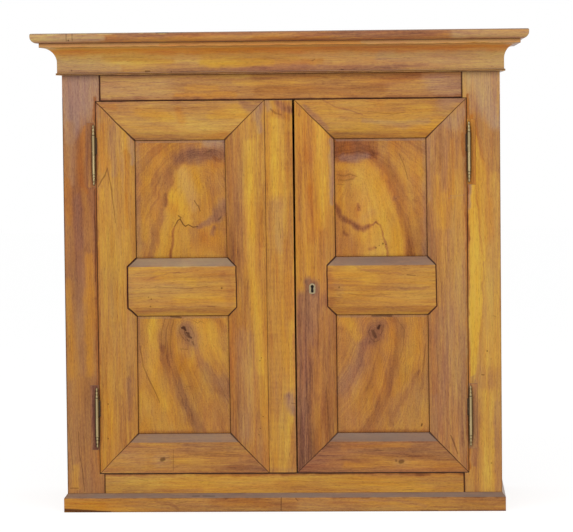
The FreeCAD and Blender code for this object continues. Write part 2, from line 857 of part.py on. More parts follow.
def lock_bolt():
    """The bolt, drawn back into the case, with a notch for the key below it."""
    x0 = right_door_inner + lock_bolt_rest_gap
    z = (lock_bolt_z - lock_bolt_height / 2, lock_bolt_z + lock_bolt_height / 2)
    y = (face + lock_bolt_front, face + lock_bolt_front + lock_bolt_thickness)
    bar = box(x0, x0 + lock_bolt_length, *y, *z)
    notch_x = (keyhole_x - lock_bolt_notch_width / 2, keyhole_x + lock_bolt_notch_width / 2)
    return bar.cut(box(*notch_x, *y, z[0], z[0] + lock_bolt_notch_depth))


# ---------------------------------------------------------------- door bolts
# Both bolts are made as the upper one, shooting up from z = 0, and turned for the lower.
def bolt():
    y0 = door_back + guide_plate + running_gap
    bar = box(bolt_x - bolt_width / 2, bolt_x + bolt_width / 2, y0, y0 + bolt_thickness, -bolt_length, 0)
    knob_y = y0 + bolt_thickness
    knob = cylinder_y(bolt_x, -bolt_length / 2, bolt_knob_radius, knob_y, knob_y + bolt_knob_length)
    return bar.fuse(knob)


def bolt_guide():
    """The plate that the bolt slides on, with two straps over it."""
    top = -(bolt_length - guide_length) / 2
    bottom = top - guide_length
    y0 = door_back
    y1 = y0 + guide_plate
    guide = box(bolt_x - guide_width / 2, bolt_x + guide_width / 2, y0, y1, bottom, top)
    inner = bolt_width / 2 + running_gap
    outer = inner + guide_strap_wall
    bridge = y1 + 2 * running_gap + bolt_thickness
    for z0 in (bottom + guide_strap_inset, top - guide_strap_inset - guide_strap_width):
        z1 = z0 + guide_strap_width
        strap = box(bolt_x - outer, bolt_x + outer, y1, bridge + guide_plate, z0, z1)
        strap = strap.cut(box(bolt_x - inner, bolt_x + inner, y1, bridge, z0, z1))
        guide = guide.fuse(strap)
    return guide.removeSplitter()


def upper_place(shape):
    shape.translate(point(0, 0, opening_top - bolt_rest_gap))
    return shape


def lower_place(shape):
    turned = shape.mirror(point(0, 0, 0), point(0, 0, 1))
    turned.translate(point(0, 0, opening_bottom + bolt_rest_gap))
    return turned


def build_bolts():
    save("bolt_guides", upper_place(bolt_guide()), lower_place(bolt_guide()))
    save("top_bolt", upper_place(bolt()))
    save("bottom_bolt", lower_place(bolt()))


os.makedirs("parts", exist_ok=True)
build_front()
build_side("left", -1)
build_side("right", 1)
build_boards()
build_mouldings()
build_left_door()
build_right_door()
build_bolts()
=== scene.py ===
import math

import bpy
from mathutils import Matrix, Vector


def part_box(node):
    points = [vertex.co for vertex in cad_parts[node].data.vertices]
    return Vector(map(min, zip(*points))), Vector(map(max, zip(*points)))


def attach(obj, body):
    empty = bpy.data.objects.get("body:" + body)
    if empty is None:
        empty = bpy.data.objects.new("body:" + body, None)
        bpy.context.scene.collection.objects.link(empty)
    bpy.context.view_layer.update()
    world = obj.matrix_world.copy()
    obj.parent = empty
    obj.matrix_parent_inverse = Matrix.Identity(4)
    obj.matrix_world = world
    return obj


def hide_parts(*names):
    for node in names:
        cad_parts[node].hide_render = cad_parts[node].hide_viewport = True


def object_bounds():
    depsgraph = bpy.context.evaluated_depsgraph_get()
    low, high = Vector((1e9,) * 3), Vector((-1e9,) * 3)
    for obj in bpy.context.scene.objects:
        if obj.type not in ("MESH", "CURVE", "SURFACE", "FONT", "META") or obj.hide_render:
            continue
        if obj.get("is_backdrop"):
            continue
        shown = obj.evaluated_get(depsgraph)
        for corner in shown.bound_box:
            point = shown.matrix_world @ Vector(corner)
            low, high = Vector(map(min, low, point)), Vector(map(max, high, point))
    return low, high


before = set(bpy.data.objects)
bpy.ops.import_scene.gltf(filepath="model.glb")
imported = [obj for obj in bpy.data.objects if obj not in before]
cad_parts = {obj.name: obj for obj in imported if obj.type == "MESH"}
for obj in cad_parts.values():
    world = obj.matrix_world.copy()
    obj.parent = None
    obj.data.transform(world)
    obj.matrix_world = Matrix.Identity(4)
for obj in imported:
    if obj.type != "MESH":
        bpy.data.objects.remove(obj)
cad_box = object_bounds()

# ------------------------------------------------------------------ camera
# Seven metres in front of the doors with a long lens, right of the middle, a little under
# the cornice, looking slightly down and to the left.
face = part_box("left_front_stile")[0].y
lens_mm, sensor_mm = 183.5, 36.0
distance, eye_across, eye_height = 7.0, 0.3426, 0.9915
to_the_left, downwards, roll = (math.radians(angle) for angle in (2.713, 3.253, 0.581))
camera_data = bpy.data.cameras.new("camera")
camera_data.lens = lens_mm
camera_data.sensor_width = sensor_mm
camera = bpy.data.objects.new("camera", camera_data)
bpy.context.scene.collection.objects.link(camera)
camera_turn = (
    Matrix.Rotation(to_the_left, 4, "Z")
    @ Matrix.Rotation(-downwards, 4, "X")
    @ Matrix.Rotation(roll, 4, "Y")
    @ Matrix.Rotation(math.radians(90.0), 4, "X")
)
eye = Matrix.Translation((eye_across, face - distance, eye_height))
camera.matrix_world = eye @ camera_turn
bpy.context.scene.camera = camera

# ------------------------------------------------------------------ front stiles
# Two upright walnut boards at the corners of the case, rebated for the doors and mortised
# for the rails between them. Oiled and waxed, and darkened by age; the right one has a
# bright flame of sapwood down its inner side.

# A shade of walnut is how light, how red and how dull it is.
bright = (0.94, -0.25, -0.28)
gold = (0.80, -0.12, -0.15)
honey = (0.66, 0.0, 0.05)
amber = (0.64, 0.8, -0.15)
slate = (0.50, -0.15, 0.85)
brown = (0.47, 0.3, 0.1)
russet = (0.37, 0.7, 0.0)
dusk = (0.37, 0.3, 0.15)
plum = (0.31, 0.3, 0.4)


def node(tree, kind, *inputs, **settings):
    """A shader node, with its settings and its inputs in order, as values or sockets."""
    made = tree.nodes.new("ShaderNode" + kind)
    for key, value in settings.items():
        setattr(made, key, value)
    for socket, value in zip(made.inputs, inputs):
        if isinstance(value, bpy.types.NodeSocket):
            tree.links.new(value, socket)
        elif value is not None:
            socket.default_value = value
    return made


def sums(tree, operation, *inputs):
    return node(tree, "Math", *inputs, operation=operation).outputs[0]


def vectors(tree, operation, *inputs):
    made = node(tree, "VectorMath", *inputs, operation=operation)
    return made.outputs["Value" if operation in ("LENGTH", "DOT_PRODUCT") else "Vector"]


def scaled(tree, vector, factor):
    return node(tree, "VectorMath", vector, None, None, factor, operation="SCALE").outputs[0]


def noise(tree, place, stretch, detail=2.0, roughness=0.5):
    """Noise with a number of waves a metre along each axis, about nought, as a vector."""
    spread = vectors(tree, "MULTIPLY", place, stretch)
    made = node(tree, "TexNoise", spread, None, 1.0, detail, roughness)
    return vectors(tree, "SUBTRACT", made.outputs["Color"], (0.5, 0.5, 0.5))


def parts(tree, vector):
    return node(tree, "SeparateXYZ", vector).outputs


def fade(tree, value, start, end, low=0.0, high=1.0):
    """Goes smoothly from low, where value is start, to high, where it is end."""
    made = node(tree, "MapRange", value, start, end, low, high, interpolation_type="SMOOTHSTEP")
    return made.outputs[0]


def mixed(tree, share, first, second, blend="MIX"):
    return node(tree, "MixRGB", share, first, second, blend_type=blend).outputs[0]


def group(name, inputs, outputs):
    """An empty node group with float inputs, or vector ones where the value is a tuple."""
    tree = bpy.data.node_groups.new(name, "ShaderNodeTree")
    for key, value in inputs.items():
        kind = "NodeSocketVector" if isinstance(value, tuple) else "NodeSocketFloat"
        tree.interface.new_socket(key, in_out="INPUT", socket_type=kind).default_value = value
    for key, kind in outputs.items():
        tree.interface.new_socket(key, in_out="OUTPUT", socket_type="NodeSocket" + kind)
    given = tree.nodes.new("NodeGroupInput").outputs
    return tree, given, tree.nodes.new("NodeGroupOutput").inputs


def use(tree, used, **inputs):
    """A node group at work, with its inputs by name, as values or sockets."""
    made = tree.nodes.new("ShaderNodeGroup")
    made.node_tree = used
    for key, value in inputs.items():
        if isinstance(value, bpy.types.NodeSocket):
            tree.links.new(value, made.inputs[key])
        else:
            made.inputs[key].default_value = value
    return made.outputs


def ramp(tree, value, *stops):
    """The colour for a value, from (value, colour) stops."""
    made = node(tree, "ValToRGB", value)
    elements = made.color_ramp.elements
    while len(elements) < len(stops):
        elements.new(0.5)
    for element, (place, colour) in zip(elements, stops):
        element.position = place
        element.color = (*colour, 1.0)
    return made.outputs[0]


def walnut_figure():
    """Growth bands, streaks, fibre, pores and curl over a shade, in the board's own axes."""
    pore_tint = (0.42, 0.32, 0.34, 1.0)
    least_dull = -0.38
    settings = {
        "Place": (0.0, 0.0, 0.0),
        "Turns": 0.0,
        "Shade": (0.5, 0.0, 0.0),
        "Contrast": 1.0,
        "Ripple": 0.0,
        "Streaks": 1.0,
        "Rings": 0.24,
        "Seed": 0.0,
    }
    made = {"Color": "Color", "Height": "Float", "Rough": "Float"}
    tree, given, result = group("walnut_figure", settings, made)
    seed = node(tree, "CombineXYZ", given["Seed"], given["Seed"], given["Seed"]).outputs[0]
    place = vectors(tree, "MULTIPLY_ADD", seed, (3.1, 1.7, 5.3), given["Place"])
    along = parts(tree, given["Place"])[2]
    bands_at = node(tree, "CombineXYZ", given["Turns"], along, given["Seed"]).outputs[0]
    bands = parts(tree, noise(tree, bands_at, (1.0, 1.3, 1.0), 3.0, 0.55))[0]
    lines = parts(tree, noise(tree, bands_at, (8.0, 2.2, 1.0), 2.0))[0]
    broad = noise(tree, place, (9.0, 9.0, 2.2), 3.0, 0.55)
    mottle = noise(tree, place, (36.0, 36.0, 6.0), 3.0, 0.6)
    streaks = scaled(tree, noise(tree, place, (190.0, 190.0, 8.0), 3.0, 0.65), given["Streaks"])
    fibre = parts(tree, noise(tree, place, (420.0, 420.0, 24.0), 3.0, 0.65))[0]
    fibre = sums(tree, "MULTIPLY", fibre, given["Streaks"])
    flecks = parts(tree, noise(tree, place, (330.0, 330.0, 130.0), 3.0, 0.65))[0]
    pores = parts(tree, noise(tree, place, (950.0, 950.0, 70.0), 1.0))[0]
    pores = fade(tree, pores, 0.10, 0.22)
    curl = parts(tree, noise(tree, place, (14.0, 14.0, 115.0), 1.0, 0.4))[0]
    shade = vectors(tree, "MULTIPLY_ADD", broad, (0.44, 1.6, 0.8), given["Shade"])
    shade = vectors(tree, "MULTIPLY_ADD", mottle, (0.28, 1.5, 0.5), shade)
    shade = vectors(tree, "MULTIPLY_ADD", streaks, (0.44, 1.5, 0.4), shade)
    light, red, dull = parts(tree, shade)
    value = sums(tree, "MULTIPLY_ADD", bands, given["Contrast"], light)
    value = sums(tree, "MULTIPLY_ADD", lines, given["Rings"], value)
    value = sums(tree, "MULTIPLY_ADD", fibre, 0.42, value)
    value = sums(tree, "MULTIPLY_ADD", flecks, 0.36, value)
    value = sums(tree, "MULTIPLY_ADD", curl, given["Ripple"], value)
    colour = ramp(
        tree,
        value,
        (0.00, (0.036, 0.014, 0.006)),
        (0.20, (0.170, 0.060, 0.018)),
        (0.35, (0.292, 0.112, 0.029)),
        (0.50, (0.413, 0.173, 0.036)),
        (0.65, (0.524, 0.238, 0.038)),
        (0.80, (0.609, 0.304, 0.040)),
        (1.00, (0.700, 0.402, 0.046)),
    )
    dull = sums(tree, "MAXIMUM", dull, least_dull)
    less_green = sums(tree, "MULTIPLY_ADD", red, -0.20, 1.0)
    less_green = sums(tree, "MULTIPLY_ADD", dull, 0.22, less_green)
    less_blue = sums(tree, "MULTIPLY_ADD", red, -0.25, 1.0)
    less_blue = sums(tree, "MULTIPLY_ADD", dull, 2.2, less_blue)
    less_red = sums(tree, "MULTIPLY_ADD", dull, -0.04, 1.0)
    tint = node(tree, "CombineXYZ", less_red, less_green, less_blue).outputs[0]
    colour = vectors(tree, "MULTIPLY", colour, tint)
    pore_share = sums(tree, "MULTIPLY", pores, 0.45)
    colour = mixed(tree, pore_share, colour, pore_tint, "MULTIPLY")
    height = sums(tree, "MULTIPLY_ADD", pores, -0.5, fibre)
    tree.links.new(colour, result["Color"])
    tree.links.new(height, result["Height"])
    tree.links.new(sums(tree, "MULTIPLY_ADD", fibre, 0.3, 0.36), result["Rough"])
    return tree


def stroke_span():
    """One straight span of a tapering stroke: the distance to it, in its half-widths."""
    settings = {
        "Point": (0.0, 0.0, 0.0),
        "Start": (0.0, 0.0, 0.0),
        "Span": (1.0, 0.0, 0.0),
        "Scale": 1.0,
        "Width": 0.01,
        "Widening": 0.0,
        "Nearest": 100.0,
    }
    tree, given, result = group("stroke_span", settings, {"Nearest": "Float"})
    off = vectors(tree, "SUBTRACT", given["Point"], given["Start"])
    share = vectors(tree, "DOT_PRODUCT", off, given["Span"])
    share = sums(tree, "MULTIPLY", share, given["Scale"])
    share = node(tree, "Clamp", share).outputs[0]
    aside = vectors(tree, "SUBTRACT", off, scaled(tree, given["Span"], share))
    gap = vectors(tree, "LENGTH", aside)
    width = sums(tree, "MULTIPLY_ADD", share, given["Widening"], given["Width"])
    gap = sums(tree, "DIVIDE", gap, width)
    tree.links.new(sums(tree, "MINIMUM", gap, given["Nearest"]), result[0])
    return tree


def old_wax():
    """What age and wax do to wood: darkened joints, painted shade in corners and recesses,
    a painted sheen on faces that look up, and rubbed edges.
    """
    corner_reach, grain_depth = 0.007, 0.0006
    dirt_and_shade_tint = (0.14, 0.055, 0.03, 1.0)
    rubbed_tint = (1.12, 1.16, 1.35, 1.0)
    painted_sheen_colour = (0.215, 0.146, 0.108, 1.0)
    settings = {"Color": (0.5, 0.5, 0.5), "Height": 0.0, "Film": 1.0, "Joints": 0.9}
    tree, given, result = group("old_wax", settings, {"Color": "Color", "Normal": "Vector"})
    place = node(tree, "TexCoord").outputs["Object"]
    patchy = parts(tree, noise(tree, place, (14.0, 14.0, 14.0), 3.0))[0]
    # Painted shade, partly soiling: darker wherever other surfaces are near, soiling in the joints
    # and painted shade in corners and recesses.
    near = node(tree, "AmbientOcclusion", None, corner_reach, samples=6).outputs["AO"]
    eased = node(tree, "Attribute", attribute_name="eased").outputs["Fac"]
    dirt_and_shade = sums(tree, "MULTIPLY", fade(tree, near, 0.92, 0.40), 0.8)
    joint = sums(tree, "MULTIPLY", eased, given["Joints"])
    joint = sums(tree, "MULTIPLY", joint, fade(tree, near, 0.97, 0.70))
    dirt_and_shade = sums(tree, "MAXIMUM", dirt_and_shade, joint)
    colour = mixed(tree, dirt_and_shade, given["Color"], dirt_and_shade_tint, "MULTIPLY")
    rubbed = sums(tree, "MULTIPLY", eased, fade(tree, near, 0.90, 1.0))
    rubbed = sums(tree, "MULTIPLY", rubbed, fade(tree, patchy, -0.15, 0.15, 0.1, 0.8))
    colour = mixed(tree, rubbed, colour, rubbed_tint, "MULTIPLY")
    # Painted sheen: a grey tint on the faces that look up, standing for the reflection of the lamp
    # overhead.
    up = parts(tree, node(tree, "NewGeometry").outputs["Normal"])[2]
    painted_sheen = fade(tree, up, 0.15, 0.42)
    painted_sheen = sums(tree, "MULTIPLY", painted_sheen, fade(tree, patchy, -0.3, 0.3, 0.60, 0.88))
    painted_sheen = sums(tree, "MULTIPLY", painted_sheen, given["Film"])
    colour = mixed(tree, painted_sheen, colour, painted_sheen_colour)
    bump = node(tree, "Bump", 0.35, grain_depth, None, given["Height"])
    tree.links.new(colour, result["Color"])
    tree.links.new(bump.outputs[0], result["Normal"])
    return tree


figure = walnut_figure()
span = stroke_span()
wax = old_wax()
AXES = {"x": 0, "y": 1, "z": 2}
AREA_WANDER, MARK_WANDER = 0.016, 0.0025  # how far the drawn edges stray, in metres


def stroke(tree, place, across, points, widths):
    """The distance to a run of (across, up) points in mm, in the half-widths given there,
    or in the one half-width given for all."""
    if not isinstance(widths, list):
        widths = [widths] * len(points)
    nearest = 100.0
    spots = [Vector((0.0, 0.0, z / 1000)) for _, z in points]
    for spot, (a, _) in zip(spots, points):
        spot[AXES[across]] = a / 1000
    if len(spots) == 1:
        spots.append(spots[0] + Vector((0.0, 0.0, 1e-4)))
        widths = widths * 2
    for a, b, wide, next_wide in zip(spots, spots[1:], widths, widths[1:]):
        run = b - a
        nearest = use(
            tree,
            span,
            Point=place,
            Start=tuple(a),
            Span=tuple(run),
            Scale=1 / run.length_squared,
            Width=wide / 1000,
            Widening=(next_wide - wide) / 1000,
            Nearest=nearest,
        )[0]
    return nearest


def waxed(tree, colour, rough, height, painted_sheen, joints, dark=0.0, coat=0.06):
    """Gives the wood its wax, with its painted sheen and painted shade, and its dark marks on
    top, and joins it to the material.
    """
    mark_tint = (0.11, 0.035, 0.015, 1.0)
    skin = use(tree, wax, Color=colour, Height=height, Film=painted_sheen, Joints=joints)
    colour = mixed(tree, dark, skin["Color"], mark_tint, "MULTIPLY")
    shader = tree.nodes.new("ShaderNodeBsdfPrincipled")
    tree.links.new(colour, shader.inputs["Base Color"])
    tree.links.new(rough, shader.inputs["Roughness"])
    tree.links.new(skin["Normal"], shader.inputs["Normal"])
    shader.inputs["Specular IOR Level"].default_value = 0.13
    shader.inputs["Coat Weight"].default_value = coat
    shader.inputs["Coat Roughness"].default_value = 0.3
    tree.links.new(shader.outputs[0], tree.nodes.new("ShaderNodeOutputMaterial").inputs[0])


def walnut(name, grain, seed, shade, areas=(), marks=(), heart=(0.0, 70.0), drift=0.03, arch=None,
           bands=40.0, contrast=0.5, ripple=0.0, swirl=1.0, across="x", joints=0.9, streaks=1.0,
           rings=0.24):
    """The finish of one board. Grain is the axes across, through and along it. Areas are
    (shade, strength, points, half-widths, softness), in mm on the board's face, and dark
    marks the same without a shade. A softness left out is one. The growth bands lie round
    the heart, or along an arch, and swirl shortens the grain where it dives into the board.
    The marks are on the front alone."""
    made = bpy.data.materials.new(name)
    made.use_nodes = True
    tree = made.node_tree
    tree.nodes.clear()
    coordinates = node(tree, "TexCoord").outputs
    place = coordinates["Object"]
    facing = parts(tree, coordinates["Normal"])
    # One on faces towards the front, and one on all but the level faces.
    front = fade(tree, facing[1], -0.15, -0.4)
    upright = fade(tree, sums(tree, "ABSOLUTE", facing[2]), 0.97, 0.85)
    axes = parts(tree, place)
    board_place = node(tree, "CombineXYZ", *[axes[AXES[axis]] for axis in grain]).outputs[0]
    board_place = vectors(tree, "MULTIPLY", board_place, (1.0, 1.0, swirl))
    keep = [0.0, 0.0, 1.0]
    keep[AXES[across]] = 1.0
    flat = vectors(tree, "MULTIPLY", place, tuple(keep))
    wander = noise(tree, flat, (30.0, 30.0, 30.0), 3.0)
    drawn = vectors(tree, "MULTIPLY_ADD", wander, tuple(AREA_WANDER * k for k in keep), flat)
    jitter = vectors(tree, "MULTIPLY_ADD", wander, tuple(MARK_WANDER * k for k in keep), flat)
    feather = parts(tree, noise(tree, board_place, (90.0, 90.0, 9.0), 3.0, 0.6))[0]
    colour = tuple(shade) + (1.0,)
    for area_shade, strength, points, widths, *given in areas:
        softness = given[0] if given else 1.0
        gap = stroke(tree, drawn, across, points, widths)
        gap = sums(tree, "MULTIPLY_ADD", feather, 1.2 * softness, gap)
        cover = fade(tree, gap, 1 + 0.9 * softness, 1 - 0.8 * softness, 0.0, strength)
        colour = mixed(tree, sums(tree, "MULTIPLY", cover, upright), colour, (*area_shade, 1.0))
    if not areas:
        colour = mixed(tree, 0.0, colour, colour)
    if arch:
        turns = sums(tree, "MULTIPLY", stroke(tree, drawn, across, *arch), 0.1 * bands)
    else:
        slow = noise(tree, board_place, (5.0, 5.0, 1.6))
        off = vectors(tree, "MULTIPLY_ADD", slow, (0.04, 0.04, 0.0), board_place)
        off = vectors(tree, "SUBTRACT", off, (heart[0] / 1000, heart[1] / 1000, 0.0))
        radius = vectors(tree, "LENGTH", vectors(tree, "MULTIPLY", off, (1.0, 1.0, 0.0)))
        radius = sums(tree, "MULTIPLY_ADD", parts(tree, board_place)[2], drift, radius)
        turns = sums(tree, "MULTIPLY", radius, bands)
    out = use(
        tree,
        figure,
        Place=board_place,
        Turns=turns,
        Shade=colour,
        Contrast=contrast,
        Ripple=ripple,
        Streaks=streaks,
        Rings=rings,
        Seed=float(seed),
    )
    dark = 0.0
    for strength, points, widths, *given in marks:
        softness = given[0] if given else 1.0
        gap = stroke(tree, jitter, across, points, widths)
        cover = fade(tree, gap, 1 + 0.5 * softness, 1 - 0.5 * softness, 0.0, strength)
        dark = sums(tree, "MAXIMUM", dark, sums(tree, "MULTIPLY", cover, front))
    height = sums(tree, "MULTIPLY_ADD", dark, -0.5, out["Height"])
    waxed(tree, out["Color"], out["Rough"], height, painted_sheen=1.0, joints=joints, dark=dark)
    return made


def selected_alone(piece):
    bpy.ops.object.select_all(action="DESELECT")
    piece.select_set(True)
    bpy.context.view_layer.objects.active = piece


def eased_copy(name, new_name, edge):
    """A copy of a node's shape, with its edges eased by so many mm."""
    piece = bpy.data.objects.new(new_name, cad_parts[name].data.copy())
    bpy.context.scene.collection.objects.link(piece)
    selected_alone(piece)
    bpy.ops.object.mode_set(mode="EDIT")
    bpy.ops.mesh.select_all(action="SELECT")
    bpy.ops.mesh.remove_doubles(threshold=2e-5)
    bpy.ops.mesh.dissolve_limited(angle_limit=math.radians(0.5))
    bpy.ops.object.mode_set(mode="OBJECT")
    ease = piece.modifiers.new("ease", "BEVEL")
    ease.width = edge / 1000
    ease.segments = 2
    ease.limit_method = "ANGLE"
    ease.angle_limit = math.radians(20)
    ease.material = 1
    bpy.ops.object.modifier_apply(modifier="ease")
    eased = piece.data.attributes.new("eased", "FLOAT", "FACE")
    eased.data.foreach_set("value", [float(f.material_index == 1) for f in piece.data.polygons])
    piece.data.polygons.foreach_set("material_index", [0] * len(piece.data.polygons))
    bpy.ops.object.shade_smooth_by_angle(angle=math.radians(22))
    return piece


def board(name, body, finish, edge=0.8):
    """A wooden piece in the shape of its node."""
    piece = eased_copy(name, name + "_wood", edge)
    piece.data.materials.clear()
    piece.data.materials.append(finish)
    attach(piece, body)
    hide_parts(name)


def walnut_board(name, body, grain, seed, shade, edge=0.8, **figured):
    """A walnut piece in the shape of its node, with a figure of its own."""
    board(name, body, walnut("walnut_" + name, grain, seed, shade, **figured), edge)


walnut_board(
    "left_front_stile", "case", "xyz", 11, (0.48, 0.15, 0.25), heart=(-620.0, -150.0),
    contrast=0.25, streaks=0.4,
    areas=[
        ((0.54, -1.6, 1.6), 0.85, [(-480, 1070), (-488, 1000), (-500, 950), (-507, 900)],
         [60, 46, 26, 10]),
        ((0.56, -0.1, 0.6), 0.8, [(-508, 940), (-505, 870), (-506, 800)], [8, 12, 8]),
        ((0.6, 0.8, 0.0), 0.75, [(-470, 930), (-477, 890), (-484, 850), (-480, 800), (-471, 775)],
         [4, 8, 9, 8, 5]),
        ((0.44, 0.1, 0.7), 0.7, [(-464, 940), (-463, 860), (-462, 790)], [4, 4.5, 4]),
        ((0.58, 0.4, 0.0), 0.7, [(-514, 800), (-512, 740), (-513, 700)], [7, 8, 6]),
        ((0.42, 0.2, 0.6), 0.8, [(-489, 760), (-492, 700), (-489, 640)], [9, 11, 9]),
        ((0.6, 0.0, 0.1), 0.75, [(-479, 780), (-466, 720), (-460, 640)], [5, 8, 7]),
        ((0.6, 0.3, 0.0), 0.85, [(-517, 560), (-514, 440), (-513, 330)], [9, 10, 10]),
        ((0.42, 0.2, 0.5), 0.8, [(-488, 620), (-487, 520), (-485, 400), (-484, 330)], [9, 9, 9, 8]),
        ((0.66, 0.3, 0.0), 0.9, [(-462, 620), (-464, 500), (-465, 400), (-466, 335)],
         [9, 12, 11, 8]),
        ((0.42, 0.3, 0.25), 0.8, [(-480, 310), (-482, 200), (-480, 60)], [26, 26, 28]),
        ((0.63, 0.0, 0.0), 0.8, [(-505, 108), (-505, 62)], 8),
        # Painted shadow: a dark strip down the stile beside the left door's gap.
        ((0.36, 0.7, 0.0), 0.85, [(-447, 1000), (-447, 100)], 3.5),
    ],
    marks=[
        (0.45, [(-497, 195), (-495, 140), (-488, 100), (-484, 50)], [0.8, 1.1, 1.1, 0.9]),
        (0.35, [(-522, 215), (-516, 160), (-512, 100)], [0.7, 0.9, 0.7]),
        (0.5, [(-518, 58), (-500, 58)], 1.2),
        (0.5, [(-450, 780), (-449, 660), (-450, 560)], [1.6, 1.6, 1.4]),
        (0.95, [(-434.4, 1057), (-434.4, 993)], 1.9, 0.5),
        (0.7, [(-434.4, 92), (-434.4, 45)], 1.6, 0.5),
        (0.7, [(-525, 1000), (-525, 45)], 2.2, 0.7),
    ],
)
walnut_board(
    "right_front_stile", "case", "xyz", 12, (0.62, 0.05, 0.3), heart=(600.0, -120.0), contrast=0.4,
    streaks=0.8,
    areas=[
        ((0.68, 0.05, 1.35), 0.85, [(480, 1060), (490, 990), (515, 930)], [50, 30, 14]),
        ((0.56, 0.15, 0.8), 0.6, [(452, 1000), (468, 965)], [7, 8]),
        ((0.82, -0.05, 0.25), 0.85, [(508, 800), (508, 650), (506, 480), (500, 360)],
         [12, 15, 18, 18]),
        ((0.66, 0.75, -0.1), 0.85, [(456, 948), (462, 900), (466, 850)], [4, 6, 5]),
        (amber, 0.8, [(462, 930), (470, 880), (477, 820), (482, 740), (486, 660)],
         [5, 11, 17, 20, 18], 0.8),
        ((0.85, -0.1, -0.25), 0.95, [(463, 915), (470, 870), (474, 820), (475, 760), (474, 690),
         (474, 610), (470, 530), (466, 460), (460, 390), (455, 330)],
         [3, 8, 13, 17, 19, 19, 16, 14, 10, 6], 0.6),
        ((1.0, -0.1, -0.3), 0.8, [(458, 790), (460, 700), (461, 600), (460, 480), (457, 400)],
         [6, 9, 10, 10, 7]),
        ((0.62, 0.3, 0.0), 0.6, [(465, 790), (470, 740), (474, 690), (480, 620)],
         [1.6, 1.8, 1.8, 1.8], 0.8),
        ((0.55, 0.2, 0.2), 0.75, [(484, 600), (483, 540), (480, 470), (476, 410), (472, 350),
         (466, 290)], [1.8, 2.2, 2.4, 2.8, 3, 3], 0.8),
        ((0.62, 0.1, 1.0), 0.75, [(451, 810), (451, 730)], 4),
        ((0.46, 0.25, 0.5), 0.85, [(462, 310), (464, 230), (461, 160), (458, 110)], [4, 8, 8, 5]),
        ((0.88, -0.1, 0.2), 0.9, [(494, 280), (493, 160), (490, 60)], [15, 15, 16]),
        ((0.58, 0.2, 0.5), 0.75, [(514, 260), (514, 160), (517, 60)], [6, 7, 8]),
        # Painted shadow: a dark strip down the stile beside the right door's gap.
        ((0.42, 0.8, 0.0), 0.85, [(446, 1000), (446, 740), (446, 100)], 3),
    ],
    marks=[
        (0.7, [(491, 385)], 1.8),
        (0.6, [(478, 328), (483, 328)], 1.3),
        (0.4, [(500, 366)], 1.2),
        (0.6, [(500, 115)], 1.6),
        (0.3, [(505, 470), (512, 468)], 1),
        (0.9, [(434.4, 1057), (434.4, 993)], 1.8, 0.5),
        (0.9, [(434.4, 92), (434.4, 45)], 1.8, 0.5),
        (0.5, [(525, 1000), (525, 45)], 1.8, 0.7),
    ],
)

# ------------------------------------------------------------------ rails of the front
# The frieze rail under the cornice and the bottom rail over the plinth, straight-grained
# walnut, tenoned into the front stiles and flush with them.
walnut_board(
    "frieze_rail", "case", "zyx", 21, (0.55, 0.1, 0.3), heart=(1150.0, 60.0), drift=0.01,
    contrast=0.35,
    areas=[
        ((0.62, -0.1, 0.65), 0.85, [(-430, 1030), (-290, 1028)], [36, 30]),
        (gold, 0.3, [(-110, 1036), (-40, 1030), (30, 1032)], [5, 9, 6]),
        ((0.38, 0.2, 0.1), 0.85, [(-60, 1047), (130, 1044), (330, 1046)], [11, 13, 10]),
        ((0.43, 0.2, 0.1), 0.85, [(-50, 1014), (240, 1018)], [11, 13]),
        ((0.64, 0.5, 0.0), 0.7, [(-250, 1005), (-180, 1003), (-110, 1006)], [6, 8, 6]),
        ((0.66, 0.15, 0.0), 0.6, [(-220, 1020), (-150, 1022)], 7),
        ((0.5, 0.25, 0.2), 0.6, [(-60, 1008), (60, 1012), (220, 1006)], [5, 7, 5]),
        ((0.5, 0.05, 0.9), 0.85, [(370, 1030), (425, 1018)], [24, 30]),
        ((0.5, 0.15, 0.3), 0.5, [(260, 1006), (360, 1004)], 7),
        # Painted shadow: a dark band along the bottom edge, over the gap above the doors.
        ((0.38, 0.35, 0.2), 0.85, [(-446, 994), (446, 994)], 5),
    ],
    marks=[
        (0.95, [(-433.6, 1057), (-433.6, 993)], 1.7, 0.5),
        (0.85, [(433.6, 1057), (433.6, 993)], 1.6, 0.5),
        # The joint under the cove's lip, darkened also as painted shadow of the lip.
        (0.5, [(-440, 1056), (440, 1056)], 1.6),
        # Painted shadow: a dark line along the bottom edge over the doors' gap.
        (0.9, [(-446, 993.4), (446, 993.4)], [2, 2.2], 0.6),
    ],
)
walnut_board(
    "front_bottom_rail", "case", "zyx", 22, (0.68, 0.0, 0.15), heart=(-60.0, 60.0), drift=0.01,
    contrast=0.35,
    areas=[
        ((0.57, 0.1, 0.15), 0.6, [(-430, 60), (-340, 64)], [14, 10]),
        ((0.5, 0.2, 0.2), 0.7, [(-390, 50), (-200, 50)], [4, 5]),
        ((0.72, -0.15, 0.0), 0.6, [(20, 76), (180, 72), (320, 72)], [6, 12, 9]),
        ((0.55, 0.2, 0.2), 0.5, [(370, 58), (434, 60)], [8, 12]),
        ((0.56, 0.2, 0.1), 0.5, [(-130, 60), (0, 58), (120, 52)], [4, 5, 4]),
        # Painted shadow: a dark band along the top edge, under the gap below the doors.
        ((0.36, 0.5, 0.0), 0.85, [(-446, 93), (446, 93)], 5.5),
    ],
    marks=[
        # Painted shadow: a dark line along the top edge under the doors' gap.
        (0.85, [(-446, 92.6), (446, 92.6)], 2, 0.6),
        (0.7, [(-433.6, 92), (-433.6, 45)], 1.5, 0.5),
        (0.9, [(433.6, 92), (433.6, 45)], 1.6, 0.5),
        (0.35, [(-350, 79), (-330, 76)], 0.8),
        (0.35, [(286, 50), (312, 52)], [0.9, 0.7]),
        (0.3, [(-110, 56), (-90, 54), (-60, 57)], [0.8, 0.8, 0.6]),
    ],
)

